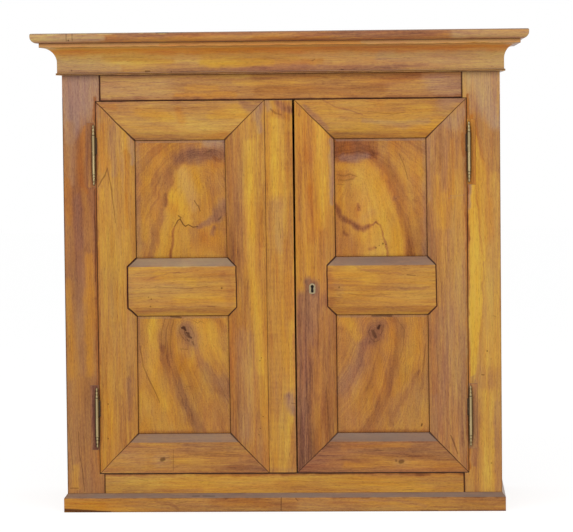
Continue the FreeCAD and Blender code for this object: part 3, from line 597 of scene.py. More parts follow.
# ------------------------------------------------------------------ hinge patches
# Walnut patches let into the front stiles where the hinges were once moved. The lower
# left one is darker than the rest.
walnut_board(
    "hinge_patches", "case", "xyz", 23, (0.5, 0.2, 0.4), edge=0.4, heart=(0.0, -300.0),
    contrast=0.3, joints=0.35,
    areas=[
        ((0.27, 0.4, 0.4), 0.95, [(-456, 150), (-456, 310)], 7, 0.8),
        ((0.52, 0.35, 0.2), 0.8, [(-460, 780), (-460, 950)], 14, 0.8),
        ((0.68, 0.6, -0.1), 0.9, [(457, 780), (457, 950)], 14, 0.5),
        ((0.5, 0.2, 0.5), 0.9, [(457, 140), (457, 320)], 14, 0.5),
    ],
)

# ------------------------------------------------------------------ framed sides
# Each side of the case is two stiles, three rails and two fielded panels in grooves.
for number, side in enumerate(("left", "right")):
    sign = -1.0 if side == "left" else 1.0
    for place, part in enumerate(("front_stile", "back_stile")):
        walnut_board(
            f"{side}_side_{part}", "case", "yxz", 30 + 10 * number + place, (0.50, 0.15, 0.25),
            heart=(-120.0 + 300.0 * place, sign * 640.0), across="y",
        )
    for place, part in enumerate(("top_rail", "middle_rail", "bottom_rail")):
        walnut_board(
            f"{side}_side_{part}", "case", "zxy", 33 + 10 * number + place, (0.55, 0.1, 0.2),
            heart=(980.0 - 420.0 * place, sign * 600.0), across="y",
        )
    for place, part in enumerate(("upper_panel", "lower_panel")):
        bottom, top = ((620, 980), (110, 500))[place]
        middle = (bottom + top) / 2
        walnut_board(
            f"{side}_side_{part}", "case", "yxz", 36 + 10 * number + place, (0.57, 0.15, 0.1),
            areas=[
                (gold, 0.6, [(20, bottom - 60), (35, middle), (20, top + 60)], [30, 44, 36]),
                (dusk, 0.5, [(-60, top), (-50, middle), (0, bottom - 30)], [12, 14, 12]),
            ],
            arch=([(30, top - 40), (35, bottom - 120)], [110, 80]), contrast=0.8, across="y",
        )

# ------------------------------------------------------------------ softwood inside
# Unpolished boards: the back, tongued together, and its rails, the bottom, the ceiling,
# the shelves and the cleats that carry them, nailed together and brown with age.


def softwood(name, grain, seed, light=0.0):
    """Pine with narrow dark summer bands, dry and unwaxed."""
    made = bpy.data.materials.new(name)
    made.use_nodes = True
    tree = made.node_tree
    tree.nodes.clear()
    axes = parts(tree, node(tree, "TexCoord").outputs["Object"])
    board_place = node(tree, "CombineXYZ", *[axes[AXES[axis]] for axis in grain]).outputs[0]
    moved = vectors(tree, "ADD", board_place, (seed * 1.3, 0.35, seed * 2.1))
    slow = noise(tree, moved, (3.0, 3.0, 1.1))
    bent = vectors(tree, "MULTIPLY_ADD", slow, (0.16, 0.16, 0.0), moved)
    radius = vectors(tree, "LENGTH", vectors(tree, "MULTIPLY", bent, (1.0, 1.0, 0.03)))
    rings_at = node(tree, "CombineXYZ", radius, parts(tree, moved)[2], float(seed)).outputs[0]
    rings = parts(tree, noise(tree, rings_at, (75.0, 0.5, 1.0), 4.0, 0.65))[0]
    fibre = parts(tree, noise(tree, moved, (500.0, 500.0, 9.0), 3.0))[0]
    broad = parts(tree, noise(tree, moved, (5.0, 5.0, 2.0)))[0]
    value = sums(tree, "MULTIPLY_ADD", fade(tree, rings, -0.05, 0.16), -0.30, 0.66 + light)
    value = sums(tree, "MULTIPLY_ADD", fibre, 0.4, value)
    value = sums(tree, "MULTIPLY_ADD", broad, 0.6, value)
    colour = ramp(
        tree,
        value,
        (0.1, (0.13, 0.062, 0.026)),
        (0.45, (0.28, 0.155, 0.070)),
        (0.9, (0.41, 0.26, 0.13)),
    )
    rough = fade(tree, fibre, -0.3, 0.3, 0.62, 0.78)
    waxed(tree, colour, rough, fibre, painted_sheen=0.5, joints=0.9, coat=0.0)
    return made


board("back_boards", "case", softwood("pine_back_boards", "xyz", 1))
board_count, board_gap = 5, 0.0006
tongue_width, tongue_thickness, short_of_ends = 0.014, 0.004, 0.006
low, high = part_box("back_boards")
step = (high.x - low.x + board_gap) / board_count
bpy.ops.object.select_all(action="DESELECT")
bpy.ops.mesh.primitive_cube_add(
    size=1.0,
    location=(low.x + step - board_gap / 2, (low.y + high.y) / 2, (low.z + high.z) / 2),
    scale=(tongue_width, tongue_thickness, high.z - low.z - short_of_ends),
)
tongues = bpy.context.object
tongues.name = "back_board_tongues"
bpy.ops.object.transform_apply(location=True, rotation=True, scale=True)
taper = tongues.modifiers.new("taper", "BEVEL")
taper.width = 0.0012
taper.segments = 2
row = tongues.modifiers.new("row", "ARRAY")
row.count = board_count - 1
row.use_relative_offset = False
row.use_constant_offset = True
row.constant_offset_displace = (step, 0.0, 0.0)
for modifier in ("taper", "row"):
    bpy.ops.object.modifier_apply(modifier=modifier)
tongues.data.materials.append(softwood("pine_back_board_tongues", "xyz", 7, light=-0.1))
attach(tongues, "case")
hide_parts("back_boards")
board("back_rails", "case", softwood("pine_back_rails", "zyx", 2, light=0.03))
board("bottom_boards", "case", softwood("pine_bottom_boards", "yzx", 3))
board("ceiling_boards", "case", softwood("pine_ceiling_boards", "yzx", 4, light=-0.05))
board("shelves", "case", softwood("pine_shelves", "yzx", 5, light=0.05), edge=1.5)
board("shelf_cleats", "case", softwood("pine_shelf_cleats", "xzy", 6))

# ------------------------------------------------------------------ plinth
# Three mitred boards round the foot, with a wide chamfer along the top, nailed on.
walnut_board(
    "plinth_front", "case", "zyx", 51, (0.61, 0.2, 0.2), heart=(-40.0, 30.0),
    areas=[
        ((0.62, 0.4, 0.0), 0.6, [(-520, 20), (-440, 18)], [12, 9]),
        (dusk, 0.5, [(-310, 27), (-280, 22), (-258, 8)], [3, 4, 3]),
        ((0.5, 0.55, 0.0), 0.7, [(-170, 22), (-60, 20), (20, 16)], [11, 13, 10]),
        ((0.6, 0.05, 0.05), 0.6, [(120, 24), (300, 20), (480, 20)], [8, 10, 12]),
        ((0.46, 0.2, 0.5), 0.5, [(180, 28), (290, 24), (340, 14)], [2, 3, 3]),
        ((0.3, 0.0, 0.0), 0.9, [(-545, 39), (545, 39)], 5, 0.6),
    ],
    marks=[
        (0.85, [(-534, 6), (-490, 4), (-420, 1)], [3.5, 3.5, 1.5]),
        (0.7, [(-7, 34), (-8, 2)], [1.1, 0.8], 0.8),
        (0.5, [(28, 32), (33, 27)], [1.5, 1]),
        (0.4, [(-222, 38), (-206, 38)], [1.2, 1.6]),
        (0.4, [(-196, 38), (-168, 38)], [1.6, 1.2]),
        (0.45, [(330, 2), (370, 2)], [1.5, 1.2]),
        (0.35, [(-262, 21), (-236, 25)], [1, 0.8]),
    ],
)
for number, part in enumerate(("left", "right")):
    walnut_board(
        "plinth_" + part, "case", "zxy", 52 + number, (0.54, 0.2, 0.2), heart=(-30.0, 30.0),
        across="y",
    )

# ------------------------------------------------------------------ cornice
# A cove board with a lip and a fillet, under a crown board with a rounded nose. Each is
# mitred at the front corners, and loose boards close the top behind the crown.
walnut_board(
    "cove_front", "case", "zyx", 61, (0.85, 0.55, 0.6), edge=0.5, heart=(1300.0, 120.0), drift=0.02,
    contrast=0.35, joints=0.4,
    areas=[
        # Painted light: a lighter, redder band along the top of the cove, where the crown's shadow
        # falls.
        ((0.84, 1.5, 0.15), 0.85, [(-560, 1113), (560, 1113)], 9),
        ((0.68, 0.1, 0.1), 0.7, [(-420, 1098), (-330, 1092), (-260, 1088)], [6, 9, 7]),
        # Painted shade: a darker band along the lower part of the cove.
        ((0.48, 0.2, 0.6), 0.85, [(-540, 1067), (540, 1067)], 10),
        (bright, 0.75, [(-190, 1080), (-130, 1079), (-80, 1083), (-20, 1082)], [5, 8, 8, 6]),
        (gold, 0.6, [(-180, 1089), (40, 1086)], [13, 10]),
        ((0.68, 0.3, 0.0), 0.6, [(55, 1082), (100, 1084)], 6),
        ((0.57, 0.0, 1.0), 0.85, [(-530, 1078), (-440, 1072), (-390, 1070)], [18, 14, 9]),
        ((0.78, 0.1, 0.9), 0.8, [(240, 1089), (400, 1086), (530, 1084)], [10, 14, 16]),
        ((0.46, 0.1, 0.6), 0.5, [(180, 1067), (330, 1066)], [4, 5]),
        # Painted light: the fillet under the crown lightened, against the crown's shadow.
        ((1.1, 1.6, 0.9), 0.95, [(-574, 1127.2), (-280, 1127.2)], 5.2, 0.6),
        ((1.05, 1.9, 0.5), 0.95, [(-280, 1127.2), (200, 1127.2)], 5.2, 0.6),
        ((1.05, 1.6, 1.0), 0.95, [(200, 1127.2), (574, 1127.2)], 5.2, 0.6),
    ],
    marks=[
        (0.6, [(-322, 1063.5), (-312, 1063.5)], [2.2, 1.6]),
        (0.6, [(-500, 1067)], 1.8),
        (0.55, [(-260, 1062)], 1.6),
        (0.5, [(147, 1063), (152, 1062)], [1.6, 1.2]),
        (0.4, [(78, 1085), (84, 1088)], [1.6, 1.2]),
        # The joint along the lip's lower edge, darkened also as painted shadow under the lip.
        (0.75, [(-560, 1058.2), (560, 1058.2)], 1.4, 0.7),
        # Painted shade: a dark line in the crease under the fillet.
        (0.8, [(-574, 1121.2), (574, 1121.2)], 1.2, 0.6),
    ],
)
walnut_board(
    "crown_front", "case", "zyx", 71, (0.48, 0.95, 0.45), heart=(1250.0, -400.0), drift=0.02,
    contrast=0.8, joints=0.4,
    areas=[
        ((0.46, 0.55, 0.3), 0.6, [(-420, 1150), (0, 1150), (420, 1150)], [4, 5, 4]),
        ((0.6, 0.5, 0.2), 0.6, [(-420, 1139), (0, 1139), (420, 1139)], 5),
        ((0.68, 0.0, 1.2), 0.9, [(-593, 1143), (-500, 1143), (-420, 1144)], [16, 12, 6]),
        ((0.68, 0.2, 1.1), 0.85, [(420, 1143), (593, 1143)], [12, 16]),
        ((0.52, 0.9, 0.0), 0.7, [(-60, 1137), (120, 1137)], 3),
        ((0.4, 0.3, 0.6), 0.6, [(-380, 1146), (-240, 1148)], [4, 5]),
        ((0.42, 0.3, 0.5), 0.5, [(-120, 1147), (60, 1149), (210, 1146)], [2.4, 3, 2.4]),
        ((0.44, 0.3, 0.5), 0.5, [(150, 1141), (330, 1143)], 2.2),
        ((0.58, 0.5, 0.2), 0.5, [(-330, 1139), (-200, 1140)], [4, 3]),
        # Painted highlight along the crown's top edge.
        ((1.0, -0.2, 1.6), 0.7, [(-593, 1155), (-330, 1155), (-60, 1155)], [2.2, 1.8, 1], 0.9),
    ],
    marks=[
        # The joint under the crown, darkened also as painted shadow of the crown.
        (0.4, [(-593, 1132.4), (593, 1132.4)], 0.8, 0.7),
        (0.6, [(-505, 1153), (-505, 1137)], 0.9, 0.8),
        (0.6, [(-491, 1153), (-491, 1137)], 0.9, 0.8),
        (0.8, [(-500, 1138)], 1.8),
        (0.7, [(-290, 1154), (-262, 1154)], 1.6),
        (0.5, [(-230, 1153)], 1.4),
        (0.4, [(-408, 1143)], 1.3),
        (0.4, [(-225, 1147)], 1.3),
    ],
)
for number, part in enumerate(("left", "right")):
    walnut_board(
        "cove_" + part, "case", "zxy", 62 + number, (0.44, 0.1, 0.4), edge=0.5,
        heart=(1300.0, 120.0), drift=0.02, across="y",
    )
    walnut_board(
        "crown_" + part, "case", "zxy", 72 + number, (0.42, 0.2, 0.4), heart=(1250.0, -400.0),
        drift=0.02, across="y",
    )
walnut_board(
    "top_boards", "case", "yzx", 79, (0.45, 0.1, 0.3), heart=(0.0, 1300.0), contrast=0.8
)

# ------------------------------------------------------------------ left door
# A frame of two stiles and three rails, mortised and tenoned, round two fielded panels
# that float in grooves. The closing strip planted on its meeting edge laps the right door.

# The panels' broad figure, and the open joints at the frame's mitres and shoulders.
panel_figure = dict(edge=0.5, bands=22.0, swirl=2.2, rings=0.34)
left_mitres = [
    (0.9, [(-444.5, 991.5), (-372.8, 918.5), (-353, 898.5)], [1, 1.7, 2.3], 0.6),
    (0.8, [(-39.4, 991.5), (-114.3, 918.5), (-134.3, 898.5)], [0.8, 1.4, 2.1], 0.6),
    (0.8, [(-444.5, 94), (-372.5, 168.2), (-353, 188.2)], [0.7, 1.2, 1.9], 0.6),
    (0.85, [(-36.1, 94), (-108, 168.2), (-128, 188.2)], [0.8, 1.5, 2.1], 0.6),
]
left_shoulders = [
    (1.0, [(-353, 613.3), (-373, 593.3), (-373, 494.8), (-353, 474.8)], [2, 2.1, 2.1, 2], 0.5),
    (0.9, [(-131, 613.3), (-111, 593.3), (-109.6, 494.8), (-129.6, 474.8)], [1.8, 1.6, 1.5, 1.9],
     0.5),
]
walnut_board(
    "left_door_hinge_stile", "left_door", "xyz", 81, (0.62, 0.1, 0.1), heart=(-470.0, -80.0),
    drift=0.02,
    areas=[
        ((0.54, 0.05, 0.7), 0.6, [(-410, 985), (-392, 930), (-380, 860), (-375, 780)],
         [14, 10, 8, 6]),
        (slate, 0.5, [(-441, 985), (-437, 930)], 5),
        # Painted highlight on the chamfer by the upper panel's corner.
        ((0.6, 0.1, 1.1), 0.7, [(-364, 908), (-359, 885), (-357, 840)], [6, 7, 4]),
        (amber, 0.75, [(-430, 935), (-433, 880), (-428, 830)], [8, 9, 7]),
        ((0.68, 0.3, 0.0), 0.7, [(-436, 775), (-434, 700), (-432, 600)], [8, 12, 10]),
        ((0.51, 0.05, 0.6), 0.6, [(-408, 930), (-404, 870), (-400, 815)], [7, 9, 6]),
        ((0.67, -0.05, 0.0), 0.8, [(-418, 710), (-408, 640), (-400, 560), (-396, 465)],
         [8, 12, 14, 10]),
        ((0.52, 0.5, 0.0), 0.7, [(-372, 870), (-374, 780), (-372, 690)], [4, 6, 4]),
        ((0.7, 0.0, 0.1), 0.7, [(-398, 430), (-404, 300)], 16),
        ((0.47, 0.3, 0.3), 0.7, [(-372, 320), (-376, 230)], [8, 10]),
        ((0.55, 0.25, 0.15), 0.6, [(-430, 220), (-420, 110)], [14, 20]),
        # Painted shadow: a dark strip down the door's outer edge, by its gap.
        ((0.38, 0.7, 0.0), 0.7, [(-444.5, 990), (-444.5, 100)], 3),
    ],
    marks=[
        (0.5, [(-441, 787), (-434, 800), (-424, 815), (-418, 832)], [1, 1.6, 1.6, 1]),
        (0.45, [(-418, 832), (-410, 790), (-400, 700)], [1, 1.3, 0.8]),
        (0.3, [(-384, 560), (-380, 480), (-381, 400)], [0.7, 0.9, 0.7]),
        (0.7, [(-424, 262)], 1.6),
        (0.7, [(-425, 178)], 1.6),
    ] + left_mitres + left_shoulders,
)
walnut_board(
    "left_door_meeting_stile", "left_door", "xyz", 82, (0.57, 0.25, 0.05), heart=(-20.0, -70.0),
    drift=-0.02,
    areas=[
        ((0.79, 0.1, -0.4), 0.85, [(-75, 890), (-78, 700), (-70, 560), (-62, 450), (-56, 340)],
         [10, 13, 13, 11, 8]),
        ((0.45, 0.4, 0.0), 0.7, [(-52, 965), (-49, 850), (-46, 640)], [3, 3.5, 3]),
        ((0.4, 0.15, 0.8), 0.8, [(-48, 985), (-54, 960), (-52, 915)], [8, 10, 5]),
        ((0.54, 0.4, 0.0), 0.7, [(-124, 890), (-126, 700), (-120, 500), (-122, 320)], [7, 8, 9, 6]),
        (amber, 0.7, [(-118, 475), (-122, 400), (-124, 320)], [6, 8, 6]),
        ((0.56, 0.05, 0.5), 0.6, [(-92, 425), (-86, 320), (-92, 190)], [16, 22, 18]),
        ((0.48, 0.25, 0.2), 0.7, [(-60, 240), (-58, 160), (-64, 104)], [6, 9, 15]),
    ],
    marks=[
        (0.6, [(-52, 372)], 1.4),
        (0.6, [(-55.5, 365)], 1.4),
        (0.7, [(-49, 230)], 1.3),
        (0.6, [(-56, 201)], 1.3),
        (0.6, [(-60, 186)], 1.3),
        (0.3, [(-112, 300), (-108, 200)], 0.7),
    ] + left_mitres + left_shoulders,
)
walnut_board(
    "left_door_top_rail", "left_door", "zyx", 83, (0.67, 0.0, 0.3), heart=(900.0, 60.0), drift=0.06,
    areas=[
        ((0.55, 0.15, 0.5), 0.6, [(-430, 988), (-230, 986), (-100, 988)], [5, 4, 5]),
        ((0.75, -0.2, 0.0), 0.7, [(-345, 966), (-300, 958), (-262, 948)], [8, 13, 8]),
        ((0.75, -0.2, 0.0), 0.7, [(-165, 955), (-110, 965), (-80, 958)], [8, 15, 10]),
        (amber, 0.6, [(-245, 972), (-238, 945)], [7, 9]),
        (amber, 0.5, [(-432, 982), (-400, 978)], 7),
        ((0.4, 0.2, 0.5), 0.85, [(-92, 986), (-66, 972), (-48, 985)], [7, 12, 9]),
        ((0.52, 0.4, 0.15), 0.8, [(-352, 906), (-250, 904), (-132, 906)], [7, 8, 7]),
    ],
    marks=[(0.3, [(-330, 975), (-260, 972), (-200, 976)], [0.8, 1, 0.7])] + left_mitres,
)
walnut_board(
    "left_door_middle_rail", "left_door", "zyx", 84, (0.62, 0.0, 0.15), heart=(720.0, 40.0),
    drift=0.03,
    areas=[
        (gold, 0.7, [(-300, 572), (-240, 566), (-215, 556)], [9, 13, 9]),
        (gold, 0.5, [(-255, 515), (-200, 520), (-150, 518)], [8, 10, 8]),
        ((0.5, 0.25, 0.2), 0.6, [(-350, 580), (-260, 586), (-190, 590)], [2, 3, 2]),
        ((0.5, 0.25, 0.2), 0.6, [(-325, 563), (-270, 578), (-205, 583)], [1.5, 2, 1.5]),
        ((0.5, 0.3, 0.2), 0.6, [(-140, 575), (-124, 540), (-124, 498)], [7, 9, 9]),
        ((0.52, 0.2, 0.3), 0.5, [(-366, 505), (-371, 565)], 7),
        ((0.48, 0.5, 0.1), 0.8, [(-352, 488), (-240, 488), (-130, 488)], 7),
        # Painted sheen: a light grey band on the top chamfer.
        ((0.8, 0.3, 1.2), 0.8, [(-352, 604), (-130, 604)], 9, 0.6),
    ],
    marks=[
        (0.6, [(-323, 520)], 1.4),
        (0.6, [(-316, 515)], 1.8),
        (0.6, [(-318, 498)], 1.6),
        (0.7, [(-146, 541)], 2.2),
        (0.5, [(-180, 496), (-162, 496)], 0.8),
        (0.35, [(-300, 545), (-230, 540), (-180, 546)], [0.7, 0.9, 0.6]),
    ] + left_shoulders,
)
walnut_board(
    "left_door_bottom_rail", "left_door", "zyx", 85, (0.5, 0.1, 0.25), heart=(20.0, 60.0),
    drift=0.03, ripple=0.08,
    areas=[
        ((0.48, 0.05, 0.5), 0.6, [(-395, 142), (-345, 124)], [12, 15]),
        ((0.48, 0.0, 0.8), 0.6, [(-300, 126), (-292, 128)], [15, 14]),
        ((0.64, 0.0, 0.1), 0.6, [(-345, 165), (-250, 161)], [4, 5]),
        ((0.66, 0.0, 0.1), 0.6, [(-262, 120), (-190, 118), (-120, 126)], [7, 12, 10]),
        ((0.48, 0.3, 0.1), 0.5, [(-130, 104), (-60, 103)], [7, 11]),
        ((0.49, 0.3, 0.2), 0.5, [(-435, 100), (-395, 104)], 7),
    ],
    marks=[
        (0.7, [(-295, 127), (-291, 128)], [5, 4.6]),
        (0.35, [(-286, 130), (-277, 132)], [1.8, 0.8]),
        (0.35, [(-267, 150), (-268, 100)], 0.8),
        (0.3, [(-230, 138), (-160, 141), (-110, 138)], [0.8, 1, 0.7]),
    ] + left_mitres,
)
walnut_board(
    "closing_strip", "left_door", "xyz", 86, (0.66, 0.0, 0.05), heart=(120.0, 30.0), drift=0.02,
    ripple=0.16,
    areas=[
        ((0.82, -0.05, -0.28), 0.85, [(-10, 940), (-12, 850), (-15, 770)], [14, 20, 16]),
        ((0.34, 0.6, 0.3), 0.85, [(-6, 986), (8, 974), (26, 968)], [8, 13, 8]),
        ((0.5, 0.6, 0.0), 0.7, [(-14, 962), (16, 948)], [8, 7]),
        ((0.5, -0.1, 0.9), 0.7, [(-33, 987), (-28, 972)], [8, 7]),
        ((0.6, 0.0, 0.5), 0.6, [(-10, 745), (-12, 690), (-5, 640)], [14, 19, 14]),
        ((0.54, 0.35, 0.1), 0.7, [(22, 910), (24, 700), (20, 590)], [7, 9, 6]),
        ((0.53, 0.4, 0.0), 0.6, [(12, 650), (15, 560), (17, 470)], [7, 9, 7]),
        ((0.56, 0.25, 0.1), 0.6, [(-20, 420), (-12, 330), (-18, 240)], [11, 14, 11]),
        ((0.3, 0.2, 0.8), 0.9, [(17, 280), (20, 262), (24, 242)], [9, 13, 10]),
        # Painted shade: darker down the strip's right edge, by the gap to the right door.
        ((0.42, 0.4, 0.2), 0.7, [(31, 560), (31, 300), (30, 110)], 5),
        ((0.52, 0.5, 0.0), 0.7, [(20, 205), (22, 104)], [6, 8]),
        ((0.52, 0.15, 0.3), 0.6, [(-33, 99), (20, 97)], 7),
    ],
    marks=[
        (0.35, [(-24, 970), (-12, 960), (2, 956)], [1.8, 2.4, 1.6]),
        (0.4, [(20, 262), (30, 260)], 1.2),
        (0.4, [(-6, 700), (-2, 660)], 0.8),
        (0.75, [(-38.9, 992), (-35.9, 94)], 1.3, 0.5),
    ],
)
walnut_board(
    "left_door_upper_panel", "left_door", "xyz", 87, (0.57, 0.15, 0.1),
    arch=([(-186, 560), (-186, 660), (-186, 740), (-190, 790)], [128, 108, 82, 58]), contrast=0.35,
    ripple=0.06, streaks=0.45, **panel_figure,
    areas=[
        ((0.5, 0.1, 0.45), 0.7, [(-349, 895), (-346, 760), (-346, 615)], [9, 9, 10]),
        ((0.68, -0.05, 0.0), 0.8, [(-285, 866), (-305, 830), (-322, 780), (-331, 720), (-330, 660)],
         [8, 15, 16, 12, 8]),
        ((0.5, 0.2, 0.1), 0.6, [(-283, 852), (-300, 822), (-314, 788)], [3, 4.5, 4]),
        ((0.42, 0.35, 0.1), 0.9, [(-248, 852), (-264, 815), (-275, 785), (-283, 750), (-290, 715),
         (-298, 680), (-307, 645), (-318, 612)], [16, 12, 10, 10, 10, 11, 12, 13], 0.9),
        ((0.34, 0.25, 0.4), 0.9, [(-250, 852), (-215, 862), (-175, 862), (-136, 868)],
         [12, 19, 23, 22]),
        ((0.26, 0.2, 0.4), 0.7, [(-214, 864), (-165, 866)], [10, 12]),
        ((0.5, -0.3, 1.1), 0.8, [(-180, 892), (-138, 889)], [9, 14]),
        ((0.74, -0.2, 0.0), 0.95, [(-222, 800), (-236, 760), (-250, 710), (-265, 660), (-275, 608)],
         [32, 33, 32, 32, 34], 0.35),
        ((0.63, 0.25, 0.0), 0.9, [(-170, 815), (-165, 760), (-170, 700), (-180, 640), (-190, 610)],
         [22, 38, 44, 50, 58], 0.8),
        ((0.7, 0.1, 0.0), 0.8, [(-232, 824), (-205, 826), (-180, 822)], [10, 9, 8]),
        ((0.76, -0.3, 0.45), 0.8, [(-236, 822), (-228, 790), (-218, 760), (-212, 735)],
         [12, 17, 17, 10]),
        ((0.86, -0.35, 0.0), 0.85, [(-258, 765), (-245, 745), (-232, 715), (-222, 700)],
         [14, 15, 11, 8]),
        ((0.8, -0.25, 0.0), 0.85, [(-246, 682), (-236, 645), (-226, 610)], [11, 18, 28]),
        ((0.64, 0.6, 0.0), 0.6, [(-275, 742), (-258, 728)], 10),
        ((0.5, 0.35, 0.1), 0.75, [(-180, 818), (-173, 792), (-152, 775)], [12, 16, 12]),
        ((0.56, 0.3, 0.15), 0.6, [(-150, 812), (-142, 790)], 10),
        ((0.6, 0.7, 0.0), 0.6, [(-175, 841), (-142, 836)], [6, 8]),
        ((0.33, 0.8, 0.0), 0.8, [(-161, 853), (-149, 848)], [4, 4.5]),
        ((0.4, 0.15, 0.5), 0.85, [(-204, 689), (-178, 698), (-156, 713), (-136, 740)],
         [4, 8, 12, 16], 0.9),
        ((0.56, 0.65, 0.0), 0.85, [(-190, 668), (-165, 650), (-148, 625)], [9, 21, 20]),
        ((0.69, 0.35, 0.0), 0.7, [(-206, 640), (-185, 622), (-148, 613)], [10, 10, 7]),
        (plum, 0.8, [(-162, 686), (-166, 668)], [4, 5]),
        (brown, 0.6, [(-148, 690), (-139, 678)], 6),
        ((0.42, 0.8, -0.1), 0.75, [(-270, 611), (-266, 650), (-258, 689)], [3.4, 3, 2.2]),
        ((0.28, 0.3, 0.1), 0.85, [(-281, 770), (-282, 746)], [3.5, 6]),
    ],
    marks=[
        (0.75, [(-258, 690), (-251, 704), (-245, 708), (-238, 695), (-232, 690), (-225, 694),
         (-214, 688), (-202, 690)], [1, 1.2, 1.5, 1.3, 1.3, 1.3, 1.2, 0.8]),
        (0.6, [(-249, 716), (-243, 711)], 1.6),
        (0.5, [(-210, 752), (-203, 740)], [1.1, 1.4]),
        (0.5, [(-201, 740), (-196, 727)], 1.3),
        (0.3, [(-186, 864), (-166, 874)], 1.5),
        (0.4, [(-152, 706), (-146, 712)], [1.8, 1.6]),
        (0.8, [(-353, 899), (-353, 613)], [1.4, 1.9], 0.7),
        (0.5, [(-353, 898.6), (-134, 898.6)], 1.3, 0.7),
        (0.75, [(-134.2, 899), (-132, 760), (-130.2, 613)], [1.8, 1.2, 1.9], 0.7),
    ],
)
walnut_board(
    "left_door_lower_panel", "left_door", "xyz", 88, (0.62, 0.1, 0.05),
    arch=([(-228, 440), (-222, 385), (-200, 325), (-172, 262), (-140, 180)], [50, 54, 60, 68, 78]),
    contrast=0.3, ripple=0.04, streaks=0.5, **panel_figure,
    areas=[
        ((0.52, 0.2, 0.2), 0.6, [(-350, 472), (-350, 390), (-347, 300)], [6, 6, 5]),
        (gold, 0.85, [(-316, 472), (-312, 410), (-318, 345), (-306, 300), (-286, 250)],
         [17, 15, 11, 9, 9]),
        ((0.69, 0.0, 0.15), 0.75, [(-338, 285), (-312, 235), (-285, 196)], [9, 24, 26]),
        ((0.56, 0.35, 0.0), 0.6, [(-246, 370), (-228, 315), (-202, 262), (-180, 210)],
         [14, 20, 22, 22]),
        ((0.44, 0.2, 0.2), 0.8, [(-276, 462), (-284, 425), (-281, 392), (-277, 362)],
         [15, 15, 13, 11]),
        ((0.41, 0.2, 0.15), 0.85, [(-285, 400), (-280, 360), (-267, 328), (-255, 298), (-242, 270),
         (-228, 243), (-213, 217), (-200, 190)], [8, 11, 13, 13, 13, 13, 13, 13]),
        ((0.4, 0.25, 0.3), 0.8, [(-213, 400), (-204, 372), (-188, 346), (-171, 325), (-152, 306),
         (-134, 288)], [6, 9, 12, 15, 19, 21]),
        ((0.38, 0.55, 0.1), 0.6, [(-156, 293), (-146, 285)], 9),
        (gold, 0.7, [(-182, 448), (-168, 412), (-150, 378)], [15, 16, 13]),
        (brown, 0.6, [(-172, 471), (-150, 455), (-138, 438)], [4, 6, 7]),
        ((0.48, 0.45, 0.05), 0.75, [(-160, 250), (-150, 200)], [20, 23]),
        ((0.5, 0.1, 0.4), 0.6, [(-236, 400), (-230, 380)], [12, 10]),
        ((0.36, -1.2, 0.5), 0.95, [(-238, 446), (-226, 424), (-219, 408)], [19, 20, 13]),
        ((0.34, 0.6, 0.1), 0.75, [(-290, 398), (-290, 388)], 4),
        ((0.48, 0.5, 0.1), 0.7, [(-352, 190), (-240, 189), (-130, 190)], [7, 6, 7]),
    ],
    marks=[
        (0.85, [(-244, 445), (-239, 445), (-235, 439)], [2, 4.4, 2.4]),
        (0.7, [(-234, 434), (-229, 431), (-228, 424), (-222, 421)], [1.6, 3.4, 3, 2.2]),
        (0.45, [(-238, 438), (-236, 430), (-231, 424)], [1.2, 1.4, 1]),
        (0.3, [(-248, 452), (-251, 438), (-245, 425), (-236, 415)], [0.8, 1.2, 1.4, 1]),
        (0.3, [(-226, 450), (-218, 438), (-213, 424)], [0.8, 1.2, 1]),
        (0.45, [(-231, 417), (-228, 413)], [1.8, 1.6]),
        (0.45, [(-219, 411), (-215, 403)], [2.2, 1.4]),
        (0.3, [(-214, 462), (-206, 456), (-198, 461), (-190, 455)], [0.9, 1, 1, 0.8]),
        (0.6, [(-270, 472), (-258, 472), (-246, 470)], [2, 3, 2]),
        (0.3, [(-262, 468), (-270, 440), (-273, 405), (-268, 365)], [0.9, 1.2, 1.2, 0.9]),
        (0.3, [(-272, 468), (-282, 440), (-284, 400), (-279, 360)], [0.9, 1.2, 1.2, 0.9]),
        (0.3, [(-284, 468), (-294, 435), (-294, 398)], [0.9, 1.2, 0.9]),
        (0.4, [(-346, 402), (-338, 352), (-325, 320), (-311, 291), (-300, 265)],
         [1, 1.6, 1.6, 1.4, 1]),
        (0.3, [(-240, 300), (-230, 303), (-222, 302)], 0.9),
        (0.4, [(-248, 394), (-231, 393)], 1.1),
        (0.75, [(-353, 475), (-353, 188)], 1.6, 0.7),
        (0.5, [(-353, 474.7), (-130, 474.7)], 1.3, 0.7),
        (0.7, [(-129.2, 475), (-127.8, 188)], 1.5, 0.7),
    ],
)

# ------------------------------------------------------------------ right door
# Framed like the left door, its panels cut from the same boards and turned over, so that
# their figure mirrors the left door's. The lock is let into its meeting stile.
right_mitres = [
    (0.8, [(33.3, 991.5), (106.3, 918.5), (126.5, 898.5)], [0.8, 1.4, 2.1], 0.6),
    (0.85, [(444.5, 991.5), (368.7, 918.2), (349, 898.5)], [0.7, 1.4, 2.1], 0.6),
    (0.75, [(33.3, 94), (109.2, 168.4), (129, 188.2)], [0.8, 1.4, 1.9], 0.6),
    (0.85, [(444.5, 94), (371.9, 168.2), (352, 188.2)], [0.8, 1.5, 2.1], 0.6),
]
right_shoulders = [
    (0.95, [(128, 613.3), (108, 593.3), (109, 494.8), (129, 474.8)], [2, 1.7, 1.6, 2], 0.5),
    (0.95, [(349.6, 613.3), (369.6, 593.3), (371, 494.8), (351, 474.8)], [2, 1.6, 1.6, 2], 0.5),
]
